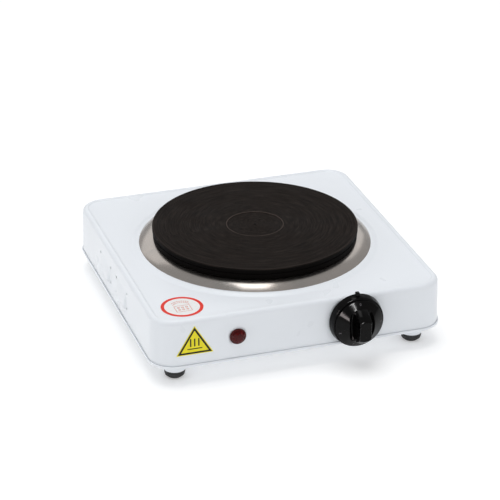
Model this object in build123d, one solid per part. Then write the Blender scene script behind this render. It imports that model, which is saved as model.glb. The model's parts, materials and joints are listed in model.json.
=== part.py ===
from build123d import *

import math
import os

# A free-standing single electric hot plate: a pressed steel housing on a base pan with four rubber
# feet, a cast-iron plate with an embedded coil, and a rotary thermostat behind a knob on the front.
# Millimetres. X is to the right, Y is to the rear and Z is up, with the feet standing on Z = 0.
# The model is drawn about the plate's axis, and save() moves it along Y to centre its outline.

# ---------------------------------------------------------------- driving dimensions
PLATE_RADIUS = 92.5
PLATE_TOP = 78.0
PLATE_EDGE_HEIGHT = 10.2
HOUSING_WIDTH = 264.0
HOUSING_CORNER = 22.0
HOUSING_TOP = 61.7
PAN_BOTTOM = 17.3
PAN_RIM_TOP = 20.0
PAN_RIM_PROUD = 1.0
WALL_DRAFT = 0.9
SHEET = 0.9
FOOT_X = 109.0
FOOT_Y = 111.0
FOOT_HEIGHT = 7.5
KNOB_X = 47.5
KNOB_Z = 40.4
KNOB_RADIUS = 21.6
KNOB_REACH = 28.0
BEZEL_BACK_RADIUS = 24.4
BEZEL_FRONT_RADIUS = 23.0
BEZEL_DEPTH = 9.0
LAMP_X = -58.8
LAMP_RADIUS = 7.2
GLAND_X = 62.0
GLAND_Z = 38.0
GLAND_REACH = 5.5
CORD_HOLE_RADIUS = 3.6

# ---------------------------------------------------------------- derived housing dimensions
FIT_GAP = 0.15
HOUSING_BOTTOM = PAN_BOTTOM + SHEET + FIT_GAP
DRAFT_ANGLE = math.degrees(math.atan2(WALL_DRAFT, HOUSING_TOP - HOUSING_BOTTOM))
TOP_ROLL = 4.0
CREST_WIDTH = HOUSING_WIDTH - 2 * WALL_DRAFT - 2 * TOP_ROLL - 0.8
CREST_CORNER = HOUSING_CORNER - TOP_ROLL
PANEL_DROP = 1.0
PANEL_SLOPE = 2.0
PANEL_TOP = HOUSING_TOP - PANEL_DROP
BOSS_TOP = PANEL_TOP + 1.6
BOSS_FOOT_RADIUS = 112.0
BOSS_RADIUS = 106.4
OPENING_RADIUS = 95.0


def wall_offset(z):
    """Distance of the housing's outer wall face from the plate's axis, at a height on the drafted wall."""
    rise = (z - HOUSING_BOTTOM) / (HOUSING_TOP - HOUSING_BOTTOM)
    return HOUSING_WIDTH / 2 - WALL_DRAFT * rise


KNOB_WALL = wall_offset(KNOB_Z)
GLAND_WALL = wall_offset(GLAND_Z)
FRONT_REACH = KNOB_WALL + KNOB_REACH
REAR_REACH = GLAND_WALL + GLAND_REACH
CENTRE_SHIFT = (FRONT_REACH - REAR_REACH) / 2

FORWARD = (90, 0, 0)
REARWARD = (-90, 0, 0)


def save(node, shape):
    """Writes one sub-part, moved so that the whole outline is centred on the origin."""
    shifted = Pos(0, CENTRE_SHIFT, 0) * shape
    shifted.label = node
    export_step(shifted, os.path.join("parts", node + ".step"))


def rod(radius, length, x, y, z, turn=(0, 0, 0)):
    """A round bar that starts at a point and runs along +Z, or along another axis after a turn."""
    bar = Cylinder(radius, length, align=(Align.CENTER, Align.CENTER, Align.MIN))
    return Pos(x, y, z) * Rot(*turn) * bar


def tube(outer, inner, length, x, y, z, turn=(0, 0, 0)):
    """A round sleeve that starts at a point and runs along +Z, or along another axis after a turn."""
    return rod(outer, length, x, y, z, turn) - rod(inner, length, x, y, z, turn)


def hexagon(across_flats, length, x, y, z, turn=(0, 0, 0)):
    """A hexagonal bar that starts at a point and runs along +Z, or along another axis after a turn."""
    outline = RegularPolygon(across_flats / 2, 6, major_radius=False)
    return Pos(x, y, z) * Rot(*turn) * extrude(outline, length)


def block(x_range, y_range, z_range):
    """A box between two values on each axis."""
    centre = [sum(span) / 2 for span in (x_range, y_range, z_range)]
    size = [span[1] - span[0] for span in (x_range, y_range, z_range)]
    return Pos(*centre) * Box(*size)


def spun(*outline):
    """A solid of revolution about the plate's axis, from (radius, height) points."""
    profile = make_face(Polyline(*[(r, 0, z) for r, z in outline], close=True))
    return revolve(profile, Axis.Z)


def rounded_square(width, corner, z):
    """A square outline with rounded corners, at a height."""
    return Pos(0, 0, z) * RectangleRounded(width, width, corner)


def wire_run(points, bend, radius):
    """A round lead along straight runs joined by arcs."""
    path = FilletPolyline(*points, radius=bend)
    start = Plane(origin=path @ 0, z_dir=path % 0)
    return sweep(start * Circle(radius), path)


# ---------------------------------------------------------------- housing and base pan
LOUVRE_LENGTH = 31.0
LOUVRE_TOP = 48.5
LOUVRE_BOTTOM = 32.0
LOUVRE_BULGE = 1.8
LOUVRE_CENTRES_Y = (-24.0, 30.5)
RELIEF_RADIUS = 1.1
RELIEF_GAP = 0.4
TAB_WIDTH = 14.0
TAB_DEPTH = 11.0
SCREW_POSITIONS = [(x, y) for x in (-FOOT_X, FOOT_X) for y in (-70.0, 70.0)]
BASE_SCREW_RADIUS = 1.7
BASE_SCREW_HEAD_RADIUS = 3.4
BASE_SCREW_HEAD_HEIGHT = 1.8
SCREW_SLOT_HALF = 0.4


def louvre(side, y_centre, inset, ends):
    """A wedge that swells out of a side wall from the top of a louvre to its open lower edge."""
    top_face = wall_offset(LOUVRE_TOP)
    low_face = wall_offset(LOUVRE_BOTTOM)
    inner_face = low_face - 3 * SHEET
    outline = Polyline(
        (inner_face, 0, LOUVRE_TOP - inset),
        (top_face - inset, 0, LOUVRE_TOP - inset),
        (low_face + LOUVRE_BULGE - inset, 0, LOUVRE_BOTTOM),
        (inner_face, 0, LOUVRE_BOTTOM),
        close=True,
    )
    length = LOUVRE_LENGTH - 2 * ends
    wedge = extrude(make_face(outline), length / 2, both=True)
    return Pos(0, y_centre, 0) * (wedge if side > 0 else mirror(wedge, Plane.YZ))


def louvre_reliefs(side, y_centre):
    """The small round holes at the ends of a louvre's upper and lower edges."""
    turn = (0, 90 * side, 0)
    start = side * (wall_offset(LOUVRE_TOP) - 3 * SHEET)
    reach = LOUVRE_LENGTH / 2 + RELIEF_GAP + RELIEF_RADIUS
    return [
        rod(RELIEF_RADIUS, 9 * SHEET, start, y_centre + end * reach, z, turn)
        for end in (-1, 1)
        for z in (LOUVRE_BOTTOM + RELIEF_RADIUS, LOUVRE_TOP - RELIEF_RADIUS)
    ]


def housing_block(width, corner, roll, height):
    """The housing's outline as a solid, drafted and rolled over at its top edge."""
    solid = extrude(rounded_square(width, corner, HOUSING_BOTTOM), height, taper=DRAFT_ANGLE)
    top_edges = solid.faces().sort_by(Axis.Z)[-1].edges()
    return fillet(top_edges, roll)


def housing_shell():
    """The pressed top: drafted walls, a beaded edge, a sunk panel, a round boss and the wall openings."""
    height = HOUSING_TOP - HOUSING_BOTTOM
    shell = housing_block(HOUSING_WIDTH, HOUSING_CORNER, TOP_ROLL, height)
    panel_width = CREST_WIDTH - 2 * PANEL_SLOPE
    slope_angle = math.degrees(math.atan2(PANEL_SLOPE, PANEL_DROP))
    sunk = extrude(
        rounded_square(panel_width, CREST_CORNER - PANEL_SLOPE, PANEL_TOP), PANEL_DROP, taper=-slope_angle
    )
    shell -= sunk
    boss = [(0, PANEL_TOP - SHEET), (BOSS_FOOT_RADIUS, PANEL_TOP - SHEET), (BOSS_FOOT_RADIUS, PANEL_TOP)]
    boss += [(BOSS_FOOT_RADIUS - 1.4, PANEL_TOP + 0.25), (BOSS_RADIUS + 0.9, BOSS_TOP - 0.25)]
    boss += [(BOSS_RADIUS - 0.6, BOSS_TOP), (0, BOSS_TOP)]
    shell += spun(*boss)
    inner_height = height - (HOUSING_TOP - PANEL_TOP) - SHEET
    shell -= housing_block(HOUSING_WIDTH - 2 * SHEET, HOUSING_CORNER - SHEET, TOP_ROLL - SHEET, inner_height)
    under_boss = [(0, PANEL_TOP - 2 * SHEET), (BOSS_FOOT_RADIUS - SHEET, PANEL_TOP - 2 * SHEET)]
    under_boss += [(BOSS_FOOT_RADIUS - SHEET, PANEL_TOP - SHEET), (BOSS_RADIUS, BOSS_TOP - SHEET)]
    under_boss += [(0, BOSS_TOP - SHEET)]
    shell -= spun(*under_boss)
    shell -= rod(OPENING_RADIUS, HOUSING_TOP, 0, 0, PAN_BOTTOM)
    for side in (-1, 1):
        for y_centre in LOUVRE_CENTRES_Y:
            shell += louvre(side, y_centre, 0, 0)
            shell -= louvre(side, y_centre, SHEET, SHEET)
            shell -= louvre_reliefs(side, y_centre)
    depth = 20 * SHEET
    shell -= rod(BUSH_RADIUS + FIT_GAP, depth, KNOB_X, -KNOB_WALL + depth / 2, KNOB_Z, FORWARD)
    shell -= rod(LAMP_BODY_RADIUS + FIT_GAP, depth, LAMP_X, -KNOB_WALL + depth / 2, KNOB_Z, FORWARD)
    shell -= rod(GLAND_NECK_RADIUS + FIT_GAP, depth, GLAND_X, GLAND_WALL - depth / 2, GLAND_Z, REARWARD)
    for x, y in SCREW_POSITIONS:
        shell += screw_tab(x, y)
        shell -= rod(BASE_SCREW_RADIUS - 0.2, 4 * SHEET, x, y, HOUSING_BOTTOM)
    return shell


def screw_tab(x, y):
    """A tab turned in from a side wall's lower edge, which takes one of the base pan's screws."""
    side = math.copysign(1, x)
    reach = sorted((x - side * TAB_DEPTH / 2, side * (wall_offset(HOUSING_BOTTOM) - SHEET / 2)))
    width = (y - TAB_WIDTH / 2, y + TAB_WIDTH / 2)
    return block(reach, width, (HOUSING_BOTTOM, HOUSING_BOTTOM + 1.2 * SHEET))


PAN_BOSS_FOOT_RADIUS = 9.6
PAN_BOSS_TOP_RADIUS = 13.5
SLOT_WIDTH = 4.0
SLOT_LENGTH = 46.0
SLOT_PITCH = 11.0
SLOTS_PER_ROW = 7
SLOT_ROWS_Y = (-34.0, 34.0)
FOOT_SCREW_RADIUS = 1.9


def pan_boss(x, y, grow):
    """A conical boss pressed down from the pan to a foot, as a solid that can be grown for its inside."""
    depth = PAN_BOTTOM - FOOT_HEIGHT
    cone = Cone(PAN_BOSS_FOOT_RADIUS + grow, PAN_BOSS_TOP_RADIUS + grow, depth)
    return Pos(x, y, FOOT_HEIGHT + depth / 2) * cone


def base_pan():
    """The tray that closes the housing from below: a rim, four foot bosses, vent slots and screw holes."""
    rim_width = HOUSING_WIDTH + 2 * PAN_RIM_PROUD
    rim_corner = HOUSING_CORNER + PAN_RIM_PROUD
    pan = extrude(rounded_square(rim_width, rim_corner, PAN_BOTTOM), PAN_RIM_TOP - PAN_BOTTOM)
    pan = fillet(pan.faces().sort_by(Axis.Z)[0].edges(), 1.2)
    inside_width = HOUSING_WIDTH + 2 * FIT_GAP
    inside_corner = HOUSING_CORNER + FIT_GAP
    pan -= extrude(rounded_square(inside_width, inside_corner, PAN_BOTTOM + SHEET), PAN_RIM_TOP)
    for x, y in FOOT_POSITIONS:
        pan += pan_boss(x, y, 0)
        hollow = pan_boss(x, y, -SHEET)
        pan -= Pos(0, 0, SHEET) * hollow
        pan -= rod(FOOT_SCREW_RADIUS, 4 * SHEET, x, y, FOOT_HEIGHT - SHEET)
    for row_y in SLOT_ROWS_Y:
        for index in range(SLOTS_PER_ROW):
            slot_x = (index - (SLOTS_PER_ROW - 1) / 2) * SLOT_PITCH
            slot = Rot(0, 0, 90) * SlotOverall(SLOT_LENGTH, SLOT_WIDTH)
            pan -= Pos(slot_x, row_y, PAN_BOTTOM - SHEET) * extrude(slot, 4 * SHEET)
    for x, y in SCREW_POSITIONS:
        pan -= rod(BASE_SCREW_RADIUS + 0.2, 4 * SHEET, x, y, PAN_BOTTOM - SHEET)
    return pan


def base_screws():
    """The four self-tapping screws that hold the base pan to the housing's tabs."""
    screws = []
    for x, y in SCREW_POSITIONS:
        low = PAN_BOTTOM - BASE_SCREW_HEAD_HEIGHT
        head = rod(BASE_SCREW_HEAD_RADIUS, BASE_SCREW_HEAD_HEIGHT, x, y, low)
        slot_x = (x - BASE_SCREW_HEAD_RADIUS, x + BASE_SCREW_HEAD_RADIUS)
        slot = block(slot_x, (y - SCREW_SLOT_HALF, y + SCREW_SLOT_HALF), (low, PAN_BOTTOM - 1.0))
        screws.append(head + rod(BASE_SCREW_RADIUS - 0.25, 8.0, x, y, PAN_BOTTOM) - slot)
    return Compound(screws)


# ---------------------------------------------------------------- feet
FOOT_POSITIONS = [(x, y) for y in (-FOOT_Y, FOOT_Y) for x in (-FOOT_X, FOOT_X)]
FOOT_NAMES = ("foot_front_left", "foot_front_right", "foot_rear_left", "foot_rear_right")
FOOT_RADIUS = 9.2
FOOT_SOLE_RADIUS = 5.6
FOOT_RECESS_RADIUS = 4.0
FOOT_RECESS_DEPTH = 3.4
FOOT_SIDE_HEIGHT = 5.0


def foot(x, y):
    """A domed rubber foot with a recess in its sole for the screw's head."""
    shoulder = (FOOT_RADIUS, 0, FOOT_SIDE_HEIGHT)
    sole = (FOOT_SOLE_RADIUS, 0, 0)
    side = ThreePointArc(shoulder, (FOOT_RADIUS - 1.0, 0, 1.9), sole)
    rest = Polyline(sole, (0, 0, 0), (0, 0, FOOT_HEIGHT), (FOOT_RADIUS, 0, FOOT_HEIGHT), shoulder)
    dome = revolve(make_face([side, rest]), Axis.Z)
    dome -= rod(FOOT_RECESS_RADIUS, FOOT_RECESS_DEPTH, 0, 0, 0)
    dome -= rod(FOOT_SCREW_RADIUS, FOOT_HEIGHT, 0, 0, 0)
    return Pos(x, y, 0) * dome


def foot_screws():
    """The four screws that hold the feet, each with its nut inside the pan's boss."""
    screws = []
    for x, y in FOOT_POSITIONS:
        head = rod(3.6, 2.0, x, y, FOOT_RECESS_DEPTH - 2.0)
        shank = rod(FOOT_SCREW_RADIUS - 0.2, 9.5, x, y, FOOT_RECESS_DEPTH)
        nut = hexagon(6.0, 2.6, x, y, FOOT_HEIGHT + SHEET)
        screws.append(head + shank + nut)
    return Compound(screws)


# ---------------------------------------------------------------- plate and heater
PLATE_EDGE_BOTTOM = PLATE_TOP - PLATE_EDGE_HEIGHT
SKIRT_RADIUS = 86.5
SKIRT_INSIDE = 81.0
SKIRT_BOTTOM = 57.5
CHAMBER_TOP = 70.0
HUB_RADIUS = 24.0
DISH_RADIUS = 25.5
DISH_DEPTH = 0.5
STUD_RADIUS = 4.0
STUD_TOP = 68.0
STUD_BOTTOM = 38.5
RING_RADIUS = 104.5
RING_INNER_RADIUS = 91.6
RING_SHEET = 0.55
COIL_RADIUS = 2.6
COIL_HEIGHT = 64.5
COIL_PITCH = 8.0
COIL_FIRST_RADIUS = 34.0
COIL_HALF_TURNS = 10


def hot_plate():
    """The cast-iron plate: a banded edge, a shallow centre dish, and a coil chamber on its underside."""
    low = PLATE_EDGE_BOTTOM
    body = spun(
        (0, PLATE_TOP - DISH_DEPTH),
        (DISH_RADIUS - 0.6, PLATE_TOP - DISH_DEPTH),
        (DISH_RADIUS, PLATE_TOP),
        (PLATE_RADIUS - 0.9, PLATE_TOP),
        (PLATE_RADIUS, PLATE_TOP - 0.9),
        (PLATE_RADIUS, low + 6.4),
        (PLATE_RADIUS - 1.0, low + 5.9),
        (PLATE_RADIUS - 1.0, low + 5.3),
        (PLATE_RADIUS - 0.3, low + 4.9),
        (PLATE_RADIUS - 0.6, low + 0.7),
        (PLATE_RADIUS - 1.3, low),
        (SKIRT_RADIUS, low),
        (SKIRT_RADIUS, SKIRT_BOTTOM),
        (SKIRT_INSIDE, SKIRT_BOTTOM),
        (SKIRT_INSIDE, CHAMBER_TOP),
        (HUB_RADIUS, CHAMBER_TOP),
        (HUB_RADIUS, SKIRT_BOTTOM),
        (STUD_RADIUS, SKIRT_BOTTOM),
        (STUD_RADIUS, STUD_TOP),
        (0, STUD_TOP),
    )
    return body - rod(0.7, DISH_DEPTH, 0, 0, PLATE_TOP - 2 * DISH_DEPTH)


def trim_ring():
    """The domed stainless ring between the plate's edge and the housing's boss."""
    foot_z = BOSS_TOP
    seat_z = PLATE_EDGE_BOTTOM - RING_SHEET
    crown_x = (RING_RADIUS + RING_INNER_RADIUS) / 2 + 0.9
    crown_z = (foot_z + seat_z) / 2 + 1.0
    foot_outer = (RING_RADIUS, 0, foot_z)
    foot_inner = (RING_RADIUS - RING_SHEET, 0, foot_z)
    seat_upper = (RING_INNER_RADIUS, 0, seat_z + RING_SHEET)
    seat_lower = (RING_INNER_RADIUS, 0, seat_z)
    outer = ThreePointArc(foot_outer, (crown_x, 0, crown_z), seat_upper)
    under = ThreePointArc(seat_lower, (crown_x - 0.2, 0, crown_z - RING_SHEET), foot_inner)
    seat_in = SKIRT_RADIUS + 0.4
    seat = Polyline(seat_upper, (seat_in, 0, seat_z + RING_SHEET), (seat_in, 0, seat_z), seat_lower)
    edge = Line(foot_inner, foot_outer)
    return revolve(make_face([outer, seat, under, edge]), Axis.Z)


def coil_path():
    """Half circles about two centres in turn, so that each joins the next without a kink."""
    arcs = []
    radius = COIL_FIRST_RADIUS
    centre = 0.0
    x_start = COIL_FIRST_RADIUS
    for half in range(COIL_HALF_TURNS):
        side = 1 if half % 2 == 0 else -1
        x_end = centre - side * radius
        points = [(x_start, 0), (centre, side * radius), (x_end, 0)]
        arcs.append(ThreePointArc(*[(x, y, COIL_HEIGHT) for x, y in points]))
        x_start = x_end
        centre += side * COIL_PITCH / 2
        radius += COIL_PITCH / 2
    return Wire(arcs)


def heating_coil():
    """The spiral resistance coil that lies in the plate's chamber."""
    path = coil_path()
    return sweep(Plane(origin=path @ 0, z_dir=path % 0) * Circle(COIL_RADIUS), path)


def coil_cement():
    """The ceramic filling that holds the coil in the plate's chamber."""
    height = CHAMBER_TOP - SKIRT_BOTTOM - 1.6
    filling = tube(SKIRT_INSIDE - FIT_GAP, HUB_RADIUS + FIT_GAP, height, 0, 0, SKIRT_BOTTOM + 1.0)
    return filling - heating_coil()


COVER_TOP = SKIRT_BOTTOM
COVER_SHEET = 0.7
BEAD_X = 30.0
BEAD_Y = -58.0
BEAD_HALF_LENGTH = 10.0
BEAD_HALF_WIDTH = 4.5
BEAD_DEPTH = 7.5
BEAD_PROUD = 0.8
BLADE_HALF_WIDTH = 3.1
BLADE_HALF_SHEET = 0.4
BLADE_DEPTH = 15.5
BLADE_OFFSETS_X = (-6.0, 6.0)
BLADE_END = COVER_TOP - BLADE_DEPTH


def bead_block(grow):
    """The bead's outline as a solid, which can be grown for the hole that it sits in."""
    half_length = BEAD_HALF_LENGTH + grow
    half_width = BEAD_HALF_WIDTH + grow
    return block(
        (BEAD_X - half_length, BEAD_X + half_length),
        (BEAD_Y - half_width, BEAD_Y + half_width),
        (COVER_TOP - BEAD_DEPTH, COVER_TOP + BEAD_PROUD),
    )


def plate_cover():
    """The steel disc that closes the coil chamber from below."""
    disc = rod(SKIRT_RADIUS - 1.0, COVER_SHEET, 0, 0, COVER_TOP - COVER_SHEET)
    disc -= rod(STUD_RADIUS + 0.4, 4 * COVER_SHEET, 0, 0, COVER_TOP - 2 * COVER_SHEET)
    return disc - bead_block(FIT_GAP)


def terminal_bead():
    """The ceramic bead that carries the plate's two terminal blades out through its cover."""
    body = bead_block(0)
    for offset in BLADE_OFFSETS_X:
        body -= blade(offset)
    return body


def blade(offset):
    """One flat terminal blade, hanging down through the bead."""
    x = BEAD_X + offset
    return block(
        (x - BLADE_HALF_WIDTH, x + BLADE_HALF_WIDTH),
        (BEAD_Y - BLADE_HALF_SHEET, BEAD_Y + BLADE_HALF_SHEET),
        (BLADE_END, COVER_TOP + BEAD_PROUD),
    )


def plate_terminals():
    """The plate's two terminal blades."""
    return Compound([blade(offset) for offset in BLADE_OFFSETS_X])


BRIDGE_WIDTH = 24.0
BRIDGE_SHEET = 2.0
BRIDGE_LOW = 50.5
BRIDGE_SPAN = 88.0
BRIDGE_END = 103.0


def clamp_bridge():
    """The cranked strap that reaches under the housing's opening and clamps the plate down by its stud."""
    high = BOSS_TOP - SHEET
    low = BRIDGE_LOW
    sheet = BRIDGE_SHEET
    right = [(BRIDGE_SPAN, low), (96.5, high - sheet), (BRIDGE_END, high - sheet)]
    right += [(BRIDGE_END, high), (95.6, high), (BRIDGE_SPAN - 0.9, low + sheet)]
    left = [(-x, z) for x, z in reversed(right)]
    outline = Polyline(*[(x, 0, z) for x, z in right + left], close=True)
    strap = extrude(make_face(outline), BRIDGE_WIDTH / 2, both=True)
    return strap - rod(STUD_RADIUS + 0.3, 4 * sheet, 0, 0, low - sheet)


def centre_stud():
    """The threaded stud that hangs from the plate's hub."""
    return rod(STUD_RADIUS, STUD_TOP - STUD_BOTTOM, 0, 0, STUD_BOTTOM)


SHIELD_SHEET = 0.6
SHIELD_RADIUS = 90.0
SHIELD_RIM = 5.0
SHIELD_TOP = BRIDGE_LOW
WASHER_HEIGHT = 1.2
NUT_HEIGHT = 6.5


def heat_shield():
    """The dished reflector under the plate, with a notch at the front for the terminals."""
    top = SHIELD_TOP
    dish = spun(
        (STUD_RADIUS + 0.4, top),
        (SHIELD_RADIUS, top),
        (SHIELD_RADIUS + 1.5, top - 1.5),
        (SHIELD_RADIUS + 1.5, top - SHIELD_RIM),
        (SHIELD_RADIUS + 0.9, top - SHIELD_RIM),
        (SHIELD_RADIUS + 0.9, top - 1.2),
        (SHIELD_RADIUS - 0.3, top - SHIELD_SHEET),
        (STUD_RADIUS + 0.4, top - SHIELD_SHEET),
    )
    return dish - block((BEAD_X - 16, BEAD_X + 16), (-SHIELD_RADIUS - 5, BEAD_Y + 10), (top - 8, top + 1))


def stud_washer():
    """The spring washer under the clamping nut."""
    return tube(8.0, STUD_RADIUS + 0.2, WASHER_HEIGHT, 0, 0, SHIELD_TOP - SHIELD_SHEET - WASHER_HEIGHT)


def stud_nut():
    """The hexagon nut that draws the plate down onto the housing."""
    nut = hexagon(13.0, NUT_HEIGHT, 0, 0, SHIELD_TOP - SHIELD_SHEET - WASHER_HEIGHT - NUT_HEIGHT)
    return nut - rod(STUD_RADIUS, 4 * NUT_HEIGHT, 0, 0, SHIELD_TOP - 3 * NUT_HEIGHT)


# ---------------------------------------------------------------- knob
BEZEL_WALL = 1.6
BEZEL_BORE_RADIUS = 9.2
BEZEL_FLOOR_RADIUS = 12.0
BEZEL_FRONT = KNOB_WALL + BEZEL_DEPTH
INDEX_HALF_WIDTH = 1.8
INDEX_REACH = 27.0
INDEX_SPAN = (KNOB_WALL + 2.6, KNOB_WALL + 6.2)
KNOB_BACK = BEZEL_FRONT + 0.4
KNOB_FRONT = KNOB_WALL + KNOB_REACH
SKIRT_HEIGHT = 1.2
CONE_SLOPE = 37.5
CONE_TOP_RADIUS = 9.0
WING_HALF = 5.3
WING_BASE_RADIUS = 15.6
WING_NOSE_RADIUS = 9.2
WING_BULGE = (13.3, KNOB_WALL + 22.3)
WING_EDGE = 1.0
SCOOP_OFFSET = 7.8
SCOOP_HALF_WIDTH = 3.5
SCOOP_HALF_LENGTH = 16.6
SCOOP_HALF_DEPTH = 8.6
SCOOP_CENTRE = KNOB_WALL + 20.6
SHAFT_RADIUS = 3.0
SHAFT_FRONT = KNOB_FRONT - 5.0


def about_knob(solid):
    """Places a solid drawn about +Z, with its base on the wall, on the knob's axis facing forward."""
    return Pos(KNOB_X, 0, KNOB_Z) * Rot(*FORWARD) * solid


def knob_bezel():
    """The fixed black ring around the knob: a tapered wall, a flat floor and an index tab at the top."""
    back = HOUSING_WIDTH / 2 + PAN_RIM_PROUD + FIT_GAP
    foot = KNOB_WALL + 0.3
    inner_front = BEZEL_FRONT - BEZEL_WALL
    ring = spun(
        (BEZEL_BACK_RADIUS - BEZEL_WALL, back),
        (BEZEL_BACK_RADIUS, back),
        (BEZEL_FRONT_RADIUS, BEZEL_FRONT - 1.0),
        (BEZEL_FRONT_RADIUS - 1.0, BEZEL_FRONT),
        (BEZEL_FLOOR_RADIUS, BEZEL_FRONT),
        (BEZEL_FLOOR_RADIUS, inner_front),
        (BEZEL_FRONT_RADIUS - BEZEL_WALL, inner_front),
    )
    tab = block((-INDEX_HALF_WIDTH, INDEX_HALF_WIDTH), (BEZEL_FRONT_RADIUS, INDEX_REACH), INDEX_SPAN)
    sleeve = tube(BEZEL_BORE_RADIUS + 1.2, BEZEL_BORE_RADIUS, BEZEL_FRONT - foot, 0, 0, foot)
    floor = tube(BEZEL_FLOOR_RADIUS, BEZEL_BORE_RADIUS, BEZEL_WALL, 0, 0, inner_front)
    return about_knob(ring + tab + sleeve + floor)


def cone_height(radius):
    """Distance of the knob's cone ahead of the plate's axis, at a radius from the knob's own axis."""
    rise = (KNOB_RADIUS - radius) * math.tan(math.radians(CONE_SLOPE))
    return KNOB_BACK + SKIRT_HEIGHT + rise


def knob_cone():
    """The knob's skirt and straight cone, with a flat top."""
    top = cone_height(CONE_TOP_RADIUS)
    return spun(
        (0, KNOB_BACK),
        (KNOB_RADIUS, KNOB_BACK),
        (KNOB_RADIUS, KNOB_BACK + SKIRT_HEIGHT),
        (CONE_TOP_RADIUS, top),
        (0, top),
    )


def knob_wing():
    """The grip that stands on the cone: a domed drum cut down to a slab, with a rounded front edge."""
    base = cone_height(WING_BASE_RADIUS)
    nose = (WING_NOSE_RADIUS, 0, KNOB_FRONT)
    shoulder = (WING_BASE_RADIUS, 0, base)
    side = ThreePointArc(shoulder, (WING_BULGE[0], 0, WING_BULGE[1]), nose)
    rest = Polyline(nose, (0, 0, KNOB_FRONT), (0, 0, KNOB_BACK), (WING_BASE_RADIUS, 0, KNOB_BACK), shoulder)
    drum = revolve(make_face([side, rest]), Axis.Z)
    reach = (-WING_BASE_RADIUS, WING_BASE_RADIUS)
    slab = drum & block((-WING_HALF, WING_HALF), reach, (KNOB_BACK, KNOB_FRONT))
    return fillet(slab.edges().group_by(Axis.Z)[-1], WING_EDGE)


def finger_scoop(side):
    """A deep oval hollow beside the knob's wing, long from top to bottom."""
    oval = scale(Sphere(1), by=(SCOOP_HALF_WIDTH, SCOOP_HALF_LENGTH, SCOOP_HALF_DEPTH))
    return Pos(side * SCOOP_OFFSET, 0, SCOOP_CENTRE) * oval


def knob():
    """The turning knob: a cone with a vertical wing and a scoop on each side of it."""
    body = knob_cone() + knob_wing()
    body = body - finger_scoop(-1) - finger_scoop(1)
    body -= rod(SHAFT_RADIUS + 0.1, SHAFT_FRONT - KNOB_BACK + 0.3, 0, 0, KNOB_BACK)
    return about_knob(body)


def spindle():
    """The thermostat's brass spindle, flattened where the knob grips it."""
    shaft = rod(SHAFT_RADIUS, SHAFT_FRONT - SPINDLE_BACK, 0, 0, SPINDLE_BACK)
    shaft -= block((-4, 4), (SHAFT_RADIUS - 1.0, 4), (KNOB_BACK + 2, SHAFT_FRONT))
    return about_knob(shaft)


def knob_clip():
    """The spring clip between the spindle's flat and the knob's socket."""
    strip = block((-1.6, 1.6), (SHAFT_RADIUS - 0.9, SHAFT_RADIUS - 0.4), (KNOB_BACK + 2.5, SHAFT_FRONT - 1))
    return about_knob(strip)


# ---------------------------------------------------------------- thermostat
# Its leaves lie parallel to the front wall, one behind another, clamped at their left ends.
BUSH_RADIUS = 5.0
SPINDLE_BACK = KNOB_WALL - 7.6
FRAME_FRONT = KNOB_WALL - SHEET - 1.2
FRAME_SHEET = 1.5
STACK_X = KNOB_X - 27.0
SPACER_RADIUS = 5.5
RIVET_RADIUS = 1.6
LEAF_HALF_WIDTH = 3.5
ARM_SHEET = 0.4
ARM_FRONT = FRAME_FRONT - 9.0
ARM_CLEARANCE = 0.3
FIXED_LEAF_FRONT = ARM_FRONT - ARM_SHEET - 4.0
FIXED_LEAF_SHEET = 0.6
BIMETAL_FRONT = FIXED_LEAF_FRONT - FIXED_LEAF_SHEET - 3.6
BIMETAL_SHEET = 0.8
CONTACT_X = KNOB_X - 7.0
CONTACT_RADIUS = 1.9
STACK_BACK = BIMETAL_FRONT - BIMETAL_SHEET - 3.0
TAB_SPAN_Z = (KNOB_Z - 3.1, KNOB_Z + 3.1)
SUPPLY_TAB_SHEET = 0.8


def across(x_range, z_range, front, thickness):
    """A flat strip parallel to the front wall, given its front face's distance ahead of the plate's axis."""
    return block(x_range, (-front, -front + thickness), z_range)


def spacer(front, back):
    """A ceramic ring on the stack's rivet, between two distances ahead of the plate's axis."""
    return tube(SPACER_RADIUS, RIVET_RADIUS + 0.1, front - back, STACK_X, -back, KNOB_Z, FORWARD)


def contact_button(back, height):
    """A silver contact that stands forward from a distance ahead of the plate's axis."""
    return rod(CONTACT_RADIUS, height, CONTACT_X, -back, KNOB_Z, FORWARD)


def leaf(x_end, half_width, front, thickness):
    """A leaf from the clamped stack towards the spindle's axis, with a hole for the stack's rivet."""
    strip = across((STACK_X - 5.5, x_end), (KNOB_Z - half_width, KNOB_Z + half_width), front, thickness)
    return strip - rod(RIVET_RADIUS + 0.6, 4 * thickness, STACK_X, -front + 2 * thickness, KNOB_Z, FORWARD)


def thermostat_frame():
    """The steel plate that carries the bush at one end and the clamped stack at the other."""
    plate = across((STACK_X - 7.5, KNOB_X + 10), (KNOB_Z - 9, KNOB_Z + 9), FRAME_FRONT, FRAME_SHEET)
    plate -= rod(BUSH_RADIUS + FIT_GAP, 20, KNOB_X, -FRAME_FRONT + 10, KNOB_Z, FORWARD)
    return plate - rod(RIVET_RADIUS + 0.1, 20, STACK_X, -FRAME_FRONT + 10, KNOB_Z, FORWARD)


def thermostat_bush():
    """The threaded neck that passes through the front wall and carries the spindle."""
    flange_front = FRAME_FRONT - FRAME_SHEET
    neck = rod(BUSH_RADIUS, KNOB_WALL + 4.4 - flange_front, KNOB_X, -flange_front, KNOB_Z, FORWARD)
    flange = rod(BUSH_RADIUS + 1.8, 1.6, KNOB_X, -flange_front + 1.6, KNOB_Z, FORWARD)
    bore = rod(SHAFT_RADIUS + 0.06, 40, KNOB_X, -KNOB_WALL + 20, KNOB_Z, FORWARD)
    return neck + flange - bore


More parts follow.
